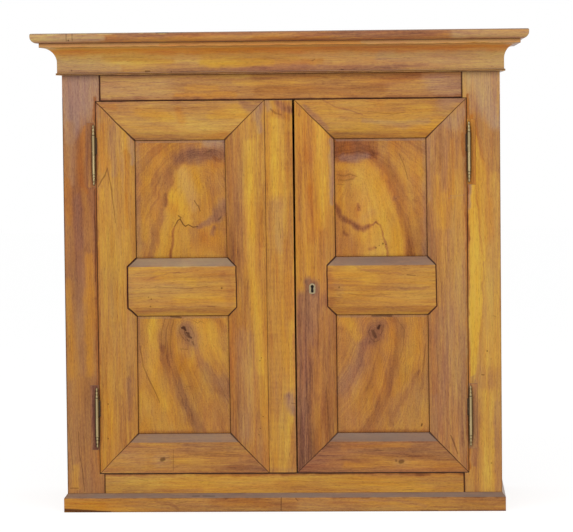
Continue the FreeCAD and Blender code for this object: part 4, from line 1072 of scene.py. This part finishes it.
walnut_board(
    "right_door_meeting_stile", "right_door", "xyz", 91, (0.66, 0.3, -0.2), heart=(-30.0, -70.0),
    drift=0.02,
    areas=[
        ((0.44, 0.3, 0.2), 0.9, [(75, 470), (80, 350), (78, 200), (74, 100)], 60, 0.35),
        ((0.84, 0.1, -0.4), 0.88, [(92, 958), (96, 850), (98, 760), (98, 690)], [10, 14, 14, 9]),
        (amber, 0.8, [(62, 965), (66, 880), (66, 850)], [12, 15, 9]),
        ((0.62, 0.8, 0.0), 0.8, [(70, 775), (72, 700), (72, 660)], [10, 15, 11]),
        ((0.52, 0.5, 0.05), 0.7, [(47, 860), (44, 650), (46, 560)], 3),
        (dusk, 0.6, [(42, 992), (44, 955)], [6, 4]),
        ((0.43, 0.1, 0.6), 0.8, [(74, 525), (66, 490), (70, 450), (62, 415)], [14, 19, 18, 14]),
        ((0.3, 0.2, 0.5), 0.85, [(50, 520), (50, 440), (52, 360), (46, 280), (48, 180), (50, 98)],
         [12, 18, 19, 13, 13, 22]),
        ((0.6, 0.1, 0.2), 0.7, [(100, 485), (94, 420), (90, 360), (92, 290)], [9, 12, 12, 8]),
        ((0.24, 0.1, 0.5), 0.9, [(64, 552), (72, 543), (76, 528)], [11, 15, 9]),
        ((0.55, 0.1, 1.0), 0.8, [(122, 895), (123, 800), (122, 740)], [5, 6, 4]),
    ],
    marks=[
        (0.4, [(84, 500), (86, 430), (84, 380)], [0.8, 1, 0.8]),
        (0.4, [(104, 300), (108, 220)], 0.8),
        (0.5, [(88, 560)], 1.2),
    ] + right_mitres + right_shoulders,
)
walnut_board(
    "right_door_hinge_stile", "right_door", "xyz", 92, (0.52, 0.2, 0.4), heart=(520.0, -80.0),
    drift=-0.02,
    areas=[
        ((0.52, 0.05, 0.9), 0.8, [(395, 945), (418, 930), (438, 965)], [16, 14, 10]),
        ((0.6, 0.1, 0.2), 0.6, [(372, 800), (380, 700), (378, 600), (374, 500)], [9, 13, 12, 9]),
        (russet, 0.7, [(436, 905), (438, 855)], [4.5, 4]),
        ((0.55, 0.0, 0.8), 0.7, [(353, 895), (354, 750)], [6, 4]),
        ((0.62, 0.35, 0.1), 0.6, [(410, 890), (407, 780), (402, 690)], [6, 9, 8]),
        (gold, 0.4, [(392, 760), (388, 690)], [8, 10]),
        (dusk, 0.5, [(376, 905), (379, 820)], 5),
        ((0.47, 0.1, 0.7), 0.7, [(400, 752), (416, 754)], 1.4, 0.8),
        ((0.47, 0.1, 0.7), 0.7, [(404, 759), (440, 760)], 1.4, 0.8),
        ((0.5, 0.2, 0.4), 0.7, [(420, 420), (416, 300), (416, 180)], [16, 18, 18]),
        ((0.56, 0.4, 0.1), 0.6, [(360, 490), (362, 290)], [6, 8]),
        ((0.42, 0.3, 0.3), 0.7, [(433, 190), (434, 105)], [3, 5]),
        # Painted shadow: a dark strip down the door's outer edge, by its gap.
        ((0.42, 0.6, 0.0), 0.8, [(444, 990), (444, 100)], 3),
    ],
    marks=[
        (0.5, [(402, 182), (410, 165), (418, 138)], [1.2, 1.8, 1.2]),
        (0.3, [(392, 640), (396, 560)], 0.8),
        (0.3, [(370, 400), (374, 330)], 0.8),
    ] + right_mitres + right_shoulders,
)
walnut_board(
    "right_door_top_rail", "right_door", "zyx", 93, (0.67, 0.1, 0.1), heart=(900.0, 60.0),
    drift=0.06,
    areas=[
        ((0.52, 0.1, 0.6), 0.7, [(200, 938), (300, 930), (352, 938)], [5, 7, 6]),
        ((0.8, -0.1, 0.0), 0.85, [(305, 962), (338, 968), (356, 962)], [7, 11, 8]),
        (gold, 0.6, [(95, 966), (132, 954)], [13, 14]),
        (amber, 0.4, [(222, 986), (240, 982)], 9),
        ((0.56, 0.1, 0.8), 0.8, [(395, 980), (425, 990)], [18, 16]),
        ((0.46, 0.35, 0.5), 0.7, [(56, 980), (80, 955), (112, 922)], [4, 7, 5]),
        ((0.5, 0.45, 0.1), 0.8, [(128, 905), (240, 903), (348, 905)], [7, 8, 7]),
        (dusk, 0.5, [(100, 990), (140, 973), (195, 955)], [1.6, 2.4, 1.6], 0.8),
    ],
    marks=[(0.3, [(210, 962), (270, 955), (300, 960)], [0.8, 1, 0.7])] + right_mitres,
)
walnut_board(
    "right_door_middle_rail", "right_door", "zyx", 94, (0.6, 0.15, 0.05), heart=(440.0, 40.0),
    drift=0.03,
    areas=[
        (gold, 0.6, [(130, 574), (180, 578), (225, 556)], [8, 12, 10]),
        ((0.49, 0.55, 0.1), 0.8, [(112, 583), (116, 540), (114, 498)], [9, 13, 9]),
        ((0.53, 0.2, 0.3), 0.5, [(130, 552), (139, 540), (136, 520)], [6, 8, 6]),
        ((0.46, 0.3, 0.2), 0.6, [(178, 590), (220, 578), (285, 571)], [2, 3, 2]),
        (dusk, 0.5, [(230, 540), (300, 537), (352, 538)], [2.5, 3.5, 2.5]),
        ((0.5, 0.45, 0.1), 0.8, [(130, 488), (240, 486), (350, 488)], 6),
        ((0.42, 0.6, 0.0), 0.9, [(130, 604), (350, 604)], 9, 0.6),
    ],
    marks=[
        (0.6, [(137, 541)], 2.2),
        (0.5, [(300, 570), (320, 568)], [1.2, 1]),
        (0.35, [(160, 525), (210, 520), (260, 524)], [0.7, 0.9, 0.6]),
    ] + right_shoulders,
)
walnut_board(
    "right_door_bottom_rail", "right_door", "zyx", 95, (0.4, 0.25, 0.35), heart=(20.0, 60.0),
    drift=0.03,
    areas=[
        ((0.54, 0.5, 0.1), 0.6, [(145, 155), (300, 158)], 7),
        ((0.59, 0.2, 0.1), 0.8, [(150, 112), (240, 115), (330, 114), (425, 112)], [8, 10, 9, 9]),
        (dusk, 0.6, [(145, 131), (230, 127), (280, 129), (365, 130)], [4, 5, 7, 4]),
        (plum, 0.7, [(45, 108), (85, 120)], [20, 18]),
        ((0.47, 0.2, 0.5), 0.6, [(278, 120), (286, 119)], 12),
    ],
    marks=[
        (0.65, [(281, 119), (285, 120)], [4.8, 4.4]),
        (0.5, [(271, 122)], 3),
        (0.3, [(180, 144), (240, 147)], 0.8),
    ] + right_mitres,
)
walnut_board(
    "right_door_upper_panel", "right_door", "xyz", 96, (0.57, 0.25, 0.1),
    arch=([(178, 560), (178, 660), (178, 740), (180, 785)], [126, 106, 78, 52]), contrast=0.35,
    ripple=0.07, streaks=0.45, **panel_figure,
    areas=[
        ((0.5, 0.1, 0.5), 0.7, [(346, 895), (345, 760), (345, 615)], [6, 7, 8]),
        ((0.66, 0.2, 0.0), 0.75, [(262, 872), (290, 815), (307, 760), (318, 690)], [8, 10, 9, 8]),
        ((0.72, 0.0, 0.0), 0.6, [(331, 842), (333, 816)], 7),
        ((0.5, 0.45, 0.05), 0.6, [(322, 800), (328, 760), (322, 715)], 8),
        ((0.44, 0.4, 0.0), 0.8, [(250, 846), (274, 790), (288, 745), (300, 700), (312, 650),
         (318, 610)], [12, 13, 13, 13, 13, 13]),
        ((0.42, 0.7, 0.0), 0.75, [(222, 856), (238, 828), (252, 798)], [14, 11, 9]),
        ((0.28, 0.8, -0.3), 0.95, [(256, 792), (269, 760), (280, 725), (291, 690), (300, 655),
         (307, 612)], [6, 9, 9, 9, 9, 10]),
        ((0.24, 0.95, 0.0), 0.93, [(128, 873), (165, 872), (200, 869), (220, 862)],
         [25, 27, 23, 12], 0.9),
        ((0.36, 0.1, 0.9), 0.8, [(150, 852), (180, 850), (206, 855)], [8, 11, 8]),
        ((0.33, 0.9, 0.0), 0.8, [(153, 879), (187, 876)], [9, 7]),
        ((0.8, 0.2, -0.4), 0.95, [(198, 800), (207, 770), (214, 740), (222, 700), (227, 660),
         (229, 608)], [42, 49, 56, 62, 66, 69], 0.35),
        ((0.64, 0.3, 0.0), 0.9, [(146, 818), (150, 770), (155, 725)], [19, 28, 28], 0.8),
        ((0.59, 0.5, 0.05), 0.9, [(138, 680), (148, 640), (165, 610)], [18, 34, 50], 0.8),
        ((0.55, 0.6, 0.0), 0.8, [(136, 806), (158, 806), (174, 808)], [12, 10, 6]),
        ((0.72, 0.0, 0.0), 0.7, [(136, 831), (162, 830)], [7, 8]),
        ((0.82, -0.25, 0.0), 0.85, [(229, 672), (226, 640), (220, 610)], [9, 17, 22]),
        ((0.66, 0.1, 0.2), 0.6, [(190, 700), (205, 712), (215, 725)], [8, 10, 8]),
        ((0.29, 0.65, 0.05), 0.85, [(130, 737), (141, 713), (160, 698), (176, 688), (195, 680),
         (211, 687)], [4, 5.5, 6, 6, 6.5, 4]),
        ((0.36, 0.6, 0.0), 0.75, [(211, 687), (222, 691), (229, 700), (238, 690), (243, 670),
         (250, 646), (254, 611)], [2.4, 2, 1.8, 2.4, 2.6, 2.8, 3], 0.9),
        ((0.44, 0.5, 0.0), 0.8, [(186, 742), (188, 728)], [3, 4.5]),
        (dusk, 0.85, [(275, 752)], 5.5),
        ((0.4, 0.5, 0.0), 0.8, [(320, 747), (323, 745)], [4, 3]),
        ((0.36, 0.5, 0.0), 0.8, [(150, 672), (156, 667)], [4, 3]),
        ((0.42, 0.6, 0.0), 0.6, [(210, 632), (222, 636)], 4),
    ],
    marks=[
        (0.5, [(226, 697), (230, 693)], [1.2, 1.4]),
        (0.35, [(275, 752)], 2),
        (0.5, [(187, 732)], 1.6),
        (0.6, [(226, 635)], 2),
        (0.6, [(234, 641)], 1.4),
        (0.7, [(243, 645)], 2.2),
        (0.6, [(250, 643)], 1.6),
        (0.3, [(134, 812), (150, 808), (166, 812), (182, 807)], [1.4, 1.9, 1.9, 1.4]),
        (0.3, [(138, 799), (152, 797), (172, 801)], [1.8, 2.4, 1.6]),
        (0.25, [(136, 788), (150, 787)], [1.8, 1.6]),
        (0.3, [(284, 860), (296, 830), (304, 800)], [1.2, 1.4, 1.2]),
        (0.75, [(126.6, 899), (127.6, 760), (128.4, 613)], [1.5, 1.2, 1.6], 0.7),
        (0.45, [(127, 898.6), (350, 898.6)], 1.3, 0.7),
        (0.8, [(348.8, 899), (350, 613)], [1.8, 1.4], 0.7),
    ],
)
walnut_board(
    "right_door_lower_panel", "right_door", "xyz", 97, (0.58, 0.25, 0.2),
    arch=([(224, 440), (214, 385), (196, 330), (172, 280), (136, 235)], [50, 54, 60, 68, 78]),
    contrast=0.3, ripple=0.04, streaks=0.5, **panel_figure,
    areas=[
        (honey, 0.8, [(322, 466), (312, 402), (300, 360), (290, 328)], [20, 18, 15, 12]),
        ((0.66, 0.2, 0.0), 0.7, [(288, 322), (276, 300), (262, 282)], [10, 9, 8]),
        ((0.5, 0.3, 0.2), 0.6, [(345, 472), (344, 380), (338, 300)], [6, 8, 8]),
        ((0.62, 0.1, 0.2), 0.7, [(335, 260), (318, 215), (300, 195)], [12, 22, 24]),
        ((0.41, 0.25, 0.2), 0.85, [(262, 472), (285, 442), (283, 402), (273, 372), (265, 340),
         (255, 310), (245, 280), (232, 255), (219, 232), (205, 208), (194, 186)],
         [9, 11, 11, 11, 10, 10, 10, 10, 10, 10, 10]),
        ((0.42, 0.3, 0.2), 0.7, [(326, 336), (312, 310), (302, 290), (290, 272), (278, 252),
         (265, 232), (256, 208)], [3, 5, 6, 6, 6, 6, 5]),
        ((0.4, 0.25, 0.5), 0.8, [(196, 412), (190, 385), (180, 354), (166, 332), (150, 315),
         (132, 298)], [11, 13, 15, 17, 19, 21]),
        (gold, 0.7, [(150, 462), (168, 445), (180, 420)], [12, 14, 9]),
        (brown, 0.6, [(132, 442), (142, 436)], [7, 6]),
        ((0.58, 0.3, 0.0), 0.6, [(228, 360), (215, 310), (196, 270), (170, 240)], [12, 16, 18, 18]),
        ((0.48, 0.35, 0.2), 0.7, [(150, 245), (160, 200)], [20, 24]),
        ((0.38, -1.2, 0.5), 0.92, [(233, 448), (223, 430), (215, 411)], [18, 20, 13]),
        (dusk, 0.6, [(256, 464), (274, 455)], 3),
        ((0.44, 0.55, 0.1), 0.7, [(130, 190), (240, 189), (350, 190)], [7, 6, 7]),
    ],
    marks=[
        (0.85, [(233, 447), (230, 441)], [3, 3.4]),
        (0.6, [(217, 434), (219, 427), (223, 420)], [3.6, 5, 3.6]),
        (0.4, [(209, 410), (207, 403)], [1.8, 1.4]),
        (0.35, [(212, 446), (207, 432), (211, 417), (221, 408), (232, 412)],
         [0.8, 1.2, 1.2, 1.2, 0.8]),
        (0.35, [(243, 450), (241, 436), (235, 424)], [0.8, 1.2, 0.8]),
        (0.6, [(215, 471), (240, 472), (262, 470)], [2, 3, 2.2]),
        (0.35, [(343, 402), (340, 362), (336, 335)], [1.2, 1.6, 1]),
        (0.75, [(333, 209), (332, 205)], [2, 1.6]),
        (0.3, [(272, 468), (292, 438), (291, 400), (282, 366)], [0.9, 1.1, 1.1, 0.9]),
        (0.7, [(128.8, 475), (129.2, 188)], 1.5, 0.7),
        (0.5, [(129, 474.7), (352, 474.7)], 1.3, 0.7),
        (0.7, [(351.2, 475), (352.2, 188)], 1.5, 0.7),
    ],
)

# ------------------------------------------------------------------ brass hinges
# Four loose-pin hinges, screwed behind the doors. The case half has the pin, the lower
# knuckle and its finial, the door half the upper ones. The leaves go in between the wood.


def metal(name, worn_and_highlight_colour, skin, grime_and_shade, worn_share, rough, painted_highlight):
    """Old metal: a dull skin rubbed through to the metal in places, with the metal's colour
    painted as a highlight on the faces that look to the front, and darker in the corners,
    as soiling and painted shade.
    """
    corner_reach, wear_depth = 0.006, 0.0003
    made = bpy.data.materials.new(name)
    made.use_nodes = True
    tree = made.node_tree
    shader = tree.nodes["Principled BSDF"]
    spot = node(tree, "TexCoord").outputs
    place = spot["Object"]
    cloudy = parts(tree, noise(tree, place, (90.0, 90.0, 60.0), 4.0, 0.6))
    fine = parts(tree, noise(tree, place, (700.0, 700.0, 500.0), 3.0))
    wear = sums(tree, "MULTIPLY_ADD", fine[0], 0.5, cloudy[0])
    bare_and_highlight = fade(tree, wear, 0.10 - worn_share, 0.28 - worn_share)
    # Painted highlight: the metal's own colour on the faces that look to the front.
    forward = sums(tree, "MULTIPLY", parts(tree, spot["Normal"])[1], -1.0)
    bare_and_highlight = sums(tree, "MAXIMUM", bare_and_highlight, fade(tree, forward, 0.84, 0.99, 0.0, painted_highlight))
    colour = mixed(tree, bare_and_highlight, (*skin, 1.0), (*worn_and_highlight_colour, 1.0))
    # Painted shade, partly soiling: darker where other parts are near.
    near = node(tree, "AmbientOcclusion", None, corner_reach, samples=6).outputs["AO"]
    dirt_and_shade = fade(tree, near, 0.96, 0.55, 0.0, 0.95)
    colour = mixed(tree, dirt_and_shade, colour, (*grime_and_shade, 1.0))
    tree.links.new(colour, shader.inputs["Base Color"])
    dull = sums(tree, "MULTIPLY_ADD", bare_and_highlight, -0.22, rough + 0.12)
    dull = sums(tree, "MULTIPLY_ADD", fine[1], 0.16, dull)
    tree.links.new(sums(tree, "MAXIMUM", dull, dirt_and_shade), shader.inputs["Roughness"])
    tree.links.new(fade(tree, dirt_and_shade, 0.2, 0.8, 0.92, 0.2), shader.inputs["Metallic"])
    bump = node(tree, "Bump", 0.4, wear_depth, None, wear)
    tree.links.new(bump.outputs[0], shader.inputs["Normal"])
    return made


brass = metal(
    "brass_hinges", worn_and_highlight_colour=(0.56, 0.44, 0.22), skin=(0.16, 0.11, 0.05), grime_and_shade=(0.04, 0.025, 0.015),
    worn_share=0.0, rough=0.36, painted_highlight=0.75,
)
# The leaves, tarnished, are painted darker still as the shade of the narrow gaps they stand in.
leaf_brass_painted_shade = metal(
    "brass_leaves_painted_shade", worn_and_highlight_colour=(0.20, 0.135, 0.07), skin=(0.06, 0.04, 0.025), grime_and_shade=(0.03, 0.02, 0.014),
    worn_share=0.0, rough=0.55, painted_highlight=0.3,
)

# The left hinges' axis, and the heights of the seams between their knuckles, in metres.
left_hinge_axis = (-0.4505, -0.1962, 0.0)
hinge_heights = (0.2295, 0.8635)
leaf_thickness, leaf_height = 0.0018, 0.040
# Of the leaves, the barrels and the pins, in mm from the axis or from the seam.
leaf_start, leaf_end = 3.5, 34.0
barrel_radius, pin_radius, socket_radius = 4.5, 2.5, 2.55
knuckle_length, pin_length, socket_length = 44.0, 34.0, 36.0
pin_chamfer, seam = 0.4, 0.3


def turned(name, place, steps):
    """A turned rod standing at a place, with (height, radius) steps in mm."""
    bpy.ops.object.select_all(action="DESELECT")
    first_height, first_radius = steps[0]
    x, y, z = place
    bpy.ops.mesh.primitive_circle_add(
        vertices=32,
        radius=first_radius / 1000,
        fill_type="NGON",
        location=(x, y, z + first_height / 1000),
    )
    piece = bpy.context.object
    piece.name = name
    bpy.ops.object.mode_set(mode="EDIT")
    bpy.ops.mesh.select_all(action="SELECT")
    height, radius = first_height, first_radius
    for next_height, next_radius in steps[1:]:
        rise = (0.0, 0.0, (next_height - height) / 1000)
        bpy.ops.mesh.extrude_region_move(TRANSFORM_OT_translate={"value": rise})
        share = next_radius / radius
        middle = (x, y, z + next_height / 1000)
        bpy.ops.transform.resize(value=(share, share, 1.0), center_override=middle)
        height, radius = next_height, next_radius
    bpy.ops.mesh.select_all(action="SELECT")
    bpy.ops.mesh.normals_make_consistent(inside=False)
    bpy.ops.object.mode_set(mode="OBJECT")
    bpy.ops.object.transform_apply(location=True, rotation=True, scale=True)
    return piece


def joined(name, pieces, finish):
    """Several pieces of one finish as one, with their edges eased."""
    bpy.ops.object.select_all(action="DESELECT")
    for piece in pieces:
        piece.select_set(True)
    bpy.context.view_layer.objects.active = pieces[0]
    if len(pieces) > 1:
        bpy.ops.object.join()
    whole = bpy.context.object
    whole.name = name
    ease = whole.modifiers.new("ease", "BEVEL")
    ease.width = 0.00025
    ease.segments = 2
    ease.limit_method = "ANGLE"
    ease.angle_limit = math.radians(40)
    bpy.ops.object.modifier_apply(modifier="ease")
    bpy.ops.object.shade_smooth_by_angle(angle=math.radians(35))
    whole.data.materials.clear()
    whole.data.materials.append(finish)
    return whole


def leaf(name, height, turn):
    """A sheet-brass leaf running back from the barrel, turned so many degrees from the
    door's face, its middle at a height above the seam in mm."""
    bpy.ops.object.select_all(action="DESELECT")
    reach = (leaf_start + leaf_end) / 2000
    along = Vector((math.cos(math.radians(turn)), math.sin(math.radians(turn)), 0.0))
    middle = Vector(left_hinge_axis) + along * reach + Vector((0.0, 0.0, height / 1000))
    bpy.ops.mesh.primitive_cube_add(
        size=1.0,
        location=middle,
        rotation=(0.0, 0.0, math.radians(turn)),
        scale=((leaf_end - leaf_start) / 1000, leaf_thickness, leaf_height),
    )
    piece = bpy.context.object
    piece.name = name
    bpy.ops.object.mode_set(mode="EDIT")
    bpy.ops.mesh.select_all(action="SELECT")
    bpy.ops.mesh.bevel(offset=0.0004, segments=2, affect="EDGES")
    bpy.ops.object.mode_set(mode="OBJECT")
    bpy.ops.object.transform_apply(location=True, rotation=True, scale=True)
    return piece


def hung(name, pattern, lift, right):
    """A copy of a hinge part, lifted to its height, and mirrored for the right door."""
    piece = bpy.data.objects.new(name, pattern.data.copy())
    bpy.context.scene.collection.objects.link(piece)
    piece.location.z = lift
    piece.scale.x = -1.0 if right else 1.0
    selected_alone(piece)
    bpy.ops.object.transform_apply(location=True, rotation=True, scale=True)
    if right:
        bpy.ops.object.mode_set(mode="EDIT")
        bpy.ops.mesh.select_all(action="SELECT")
        bpy.ops.mesh.normals_make_consistent(inside=False)
        bpy.ops.object.mode_set(mode="OBJECT")
    return piece


tip = [
    (0.0, 4.7), (2.2, 4.8), (2.4, 2.8), (4.5, 3.7), (7.0, 4.2), (9.5, 3.7), (11.5, 2.6),
    (13.3, 3.3), (15.5, 3.6), (18.0, 3.1), (20.5, 1.8), (22.0, 2.5), (24.0, 2.8), (26.5, 2.3),
    (28.3, 1.4), (29.5, 0.3),
]
lower_knuckle = [
    (pin_length, pin_radius - pin_chamfer),
    (pin_length - pin_chamfer, pin_radius),
    (0.0, pin_radius),
    (0.0, barrel_radius),
    (-knuckle_length, barrel_radius),
]
lower_knuckle += [(-knuckle_length - height, radius) for height, radius in tip]
upper_knuckle = [
    (seam + socket_length, socket_radius),
    (seam, socket_radius),
    (seam, barrel_radius),
    (seam + knuckle_length, barrel_radius),
]
upper_knuckle += [(seam + knuckle_length + height, radius) for height, radius in tip]
patterns = {
    "case_barrels": (turned("case_barrel_pattern", left_hinge_axis, lower_knuckle), brass),
    "case_leaves": (leaf("case_leaf_pattern", -22.0, 90.0), leaf_brass_painted_shade),
    "door_barrels": (turned("door_barrel_pattern", left_hinge_axis, upper_knuckle), brass),
    "door_leaves": (leaf("door_leaf_pattern", 22.0, 38.0), leaf_brass_painted_shade),
}
for part, (pattern, finish) in patterns.items():
    both = {
        side: [hung(part, pattern, lift, side == "right") for lift in hinge_heights]
        for side in ("left", "right")
    }
    bpy.data.objects.remove(pattern)
    if part.startswith("case"):
        made = {"case": joined(part, both["left"] + both["right"], finish)}
    else:
        made = {
            side + "_door": joined(f"{side}_{part}", pieces, finish)
            for side, pieces in both.items()
        }
    for body, piece in made.items():
        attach(piece, body)
        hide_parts(body + "_hinge_halves")

# ------------------------------------------------------------------ lock and bolts
# An iron box lock let into the back of the right door, with a thin brass lining to its
# keyhole, and two iron bolts in guides behind the left door that shoot into keepers.
iron = metal(
    "iron_lock_and_bolts", worn_and_highlight_colour=(0.20, 0.19, 0.18), skin=(0.055, 0.045, 0.040),
    grime_and_shade=(0.04, 0.022, 0.014), worn_share=0.02, rough=0.5, painted_highlight=0.5,
)
lining_brass = metal(
    "brass_keyhole_lining", worn_and_highlight_colour=(0.40, 0.31, 0.18), skin=(0.14, 0.10, 0.05),
    grime_and_shade=(0.03, 0.02, 0.012), worn_share=0.2, rough=0.3, painted_highlight=0.9,
)
fittings = {
    "bolt_keepers": ("case", iron, 0.3),
    "bolt_guides": ("left_door", iron, 0.4),
    "top_bolt": ("top_bolt", iron, 0.5),
    "bottom_bolt": ("bottom_bolt", iron, 0.5),
    "lock_case": ("right_door", iron, 0.5),
    "lock_bolt": ("lock_bolt", iron, 0.4),
    "escutcheon": ("right_door", lining_brass, 0.12),
}
for name, (body, finish, edge) in fittings.items():
    piece = eased_copy(name, name + "_metal", edge)
    piece.data.materials.clear()
    piece.data.materials.append(finish)
    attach(piece, body)
    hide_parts(name)

# ------------------------------------------------------------------ stage and light
# A pale floor, a white surround, a large soft box overhead in front and one on each side.
# The floor and the surround are whiter only to the rays that see them.
floor_grey, seen_floor_grey, floor_glow = 0.8, 0.3, 0.8
surround_light = 0.65
white = (1.0, 1.0, 1.0, 1.0)


def seen_rays(tree):
    """One for the rays that see a surface straight or in a reflection."""
    path = node(tree, "LightPath").outputs
    seen = sums(tree, "MAXIMUM", path["Is Camera Ray"], path["Is Glossy Ray"])
    return sums(tree, "MAXIMUM", seen, path["Is Transmission Ray"])


bpy.ops.object.select_all(action="DESELECT")
bpy.ops.mesh.primitive_plane_add(size=30.0, location=(0.0, 0.0, 0.0))
floor = bpy.context.object
floor.name = "floor"
floor_finish = bpy.data.materials.new("floor")
floor_finish.use_nodes = True
tree = floor_finish.node_tree
tree.nodes.clear()
seen = seen_rays(tree)
pale = sums(tree, "MULTIPLY_ADD", seen, seen_floor_grey - floor_grey, floor_grey)
matt = node(tree, "BsdfDiffuse", pale).outputs[0]
glow = node(tree, "Emission", white, sums(tree, "MULTIPLY", seen, floor_glow)).outputs[0]
mix = node(tree, "AddShader", matt, glow).outputs[0]
out = tree.nodes.new("ShaderNodeOutputMaterial")
tree.links.new(mix, out.inputs[0])
floor.data.materials.append(floor_finish)
floor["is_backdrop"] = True

world = bpy.data.worlds.new("surround")
bpy.context.scene.world = world
world.use_nodes = True
tree = world.node_tree
tree.nodes.clear()
level = sums(tree, "MULTIPLY_ADD", seen_rays(tree), 1.0 - surround_light, surround_light)
surround = node(tree, "Background", white, level).outputs[0]
out = tree.nodes.new("ShaderNodeOutputWorld")
tree.links.new(surround, out.inputs[0])


def soft_box(name, place, aim, width, height, watts):
    """A rectangular lamp at a place, turned towards the point it is aimed at."""
    data = bpy.data.lights.new(name, "AREA")
    data.shape = "RECTANGLE"
    data.size = width
    data.size_y = height
    data.energy = watts
    lamp = bpy.data.objects.new(name, data)
    bpy.context.scene.collection.objects.link(lamp)
    lamp.location = place
    lamp.rotation_euler = (Vector(aim) - Vector(place)).to_track_quat("-Z", "Y").to_euler()


soft_box("overhead", (0.0, -2.0, 2.7), (0.0, -0.2, 0.7), width=2.6, height=1.3, watts=28.0)
soft_box("left_side", (-2.6, -2.4, 1.2), (0.0, -0.2, 0.6), width=1.2, height=1.8, watts=8.0)
soft_box("right_side", (2.6, -2.4, 1.2), (0.0, -0.2, 0.6), width=1.2, height=1.8, watts=8.0)
bpy.context.scene.view_settings.view_transform = "Standard"

both = {"cad": cad_box, "visual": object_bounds()}
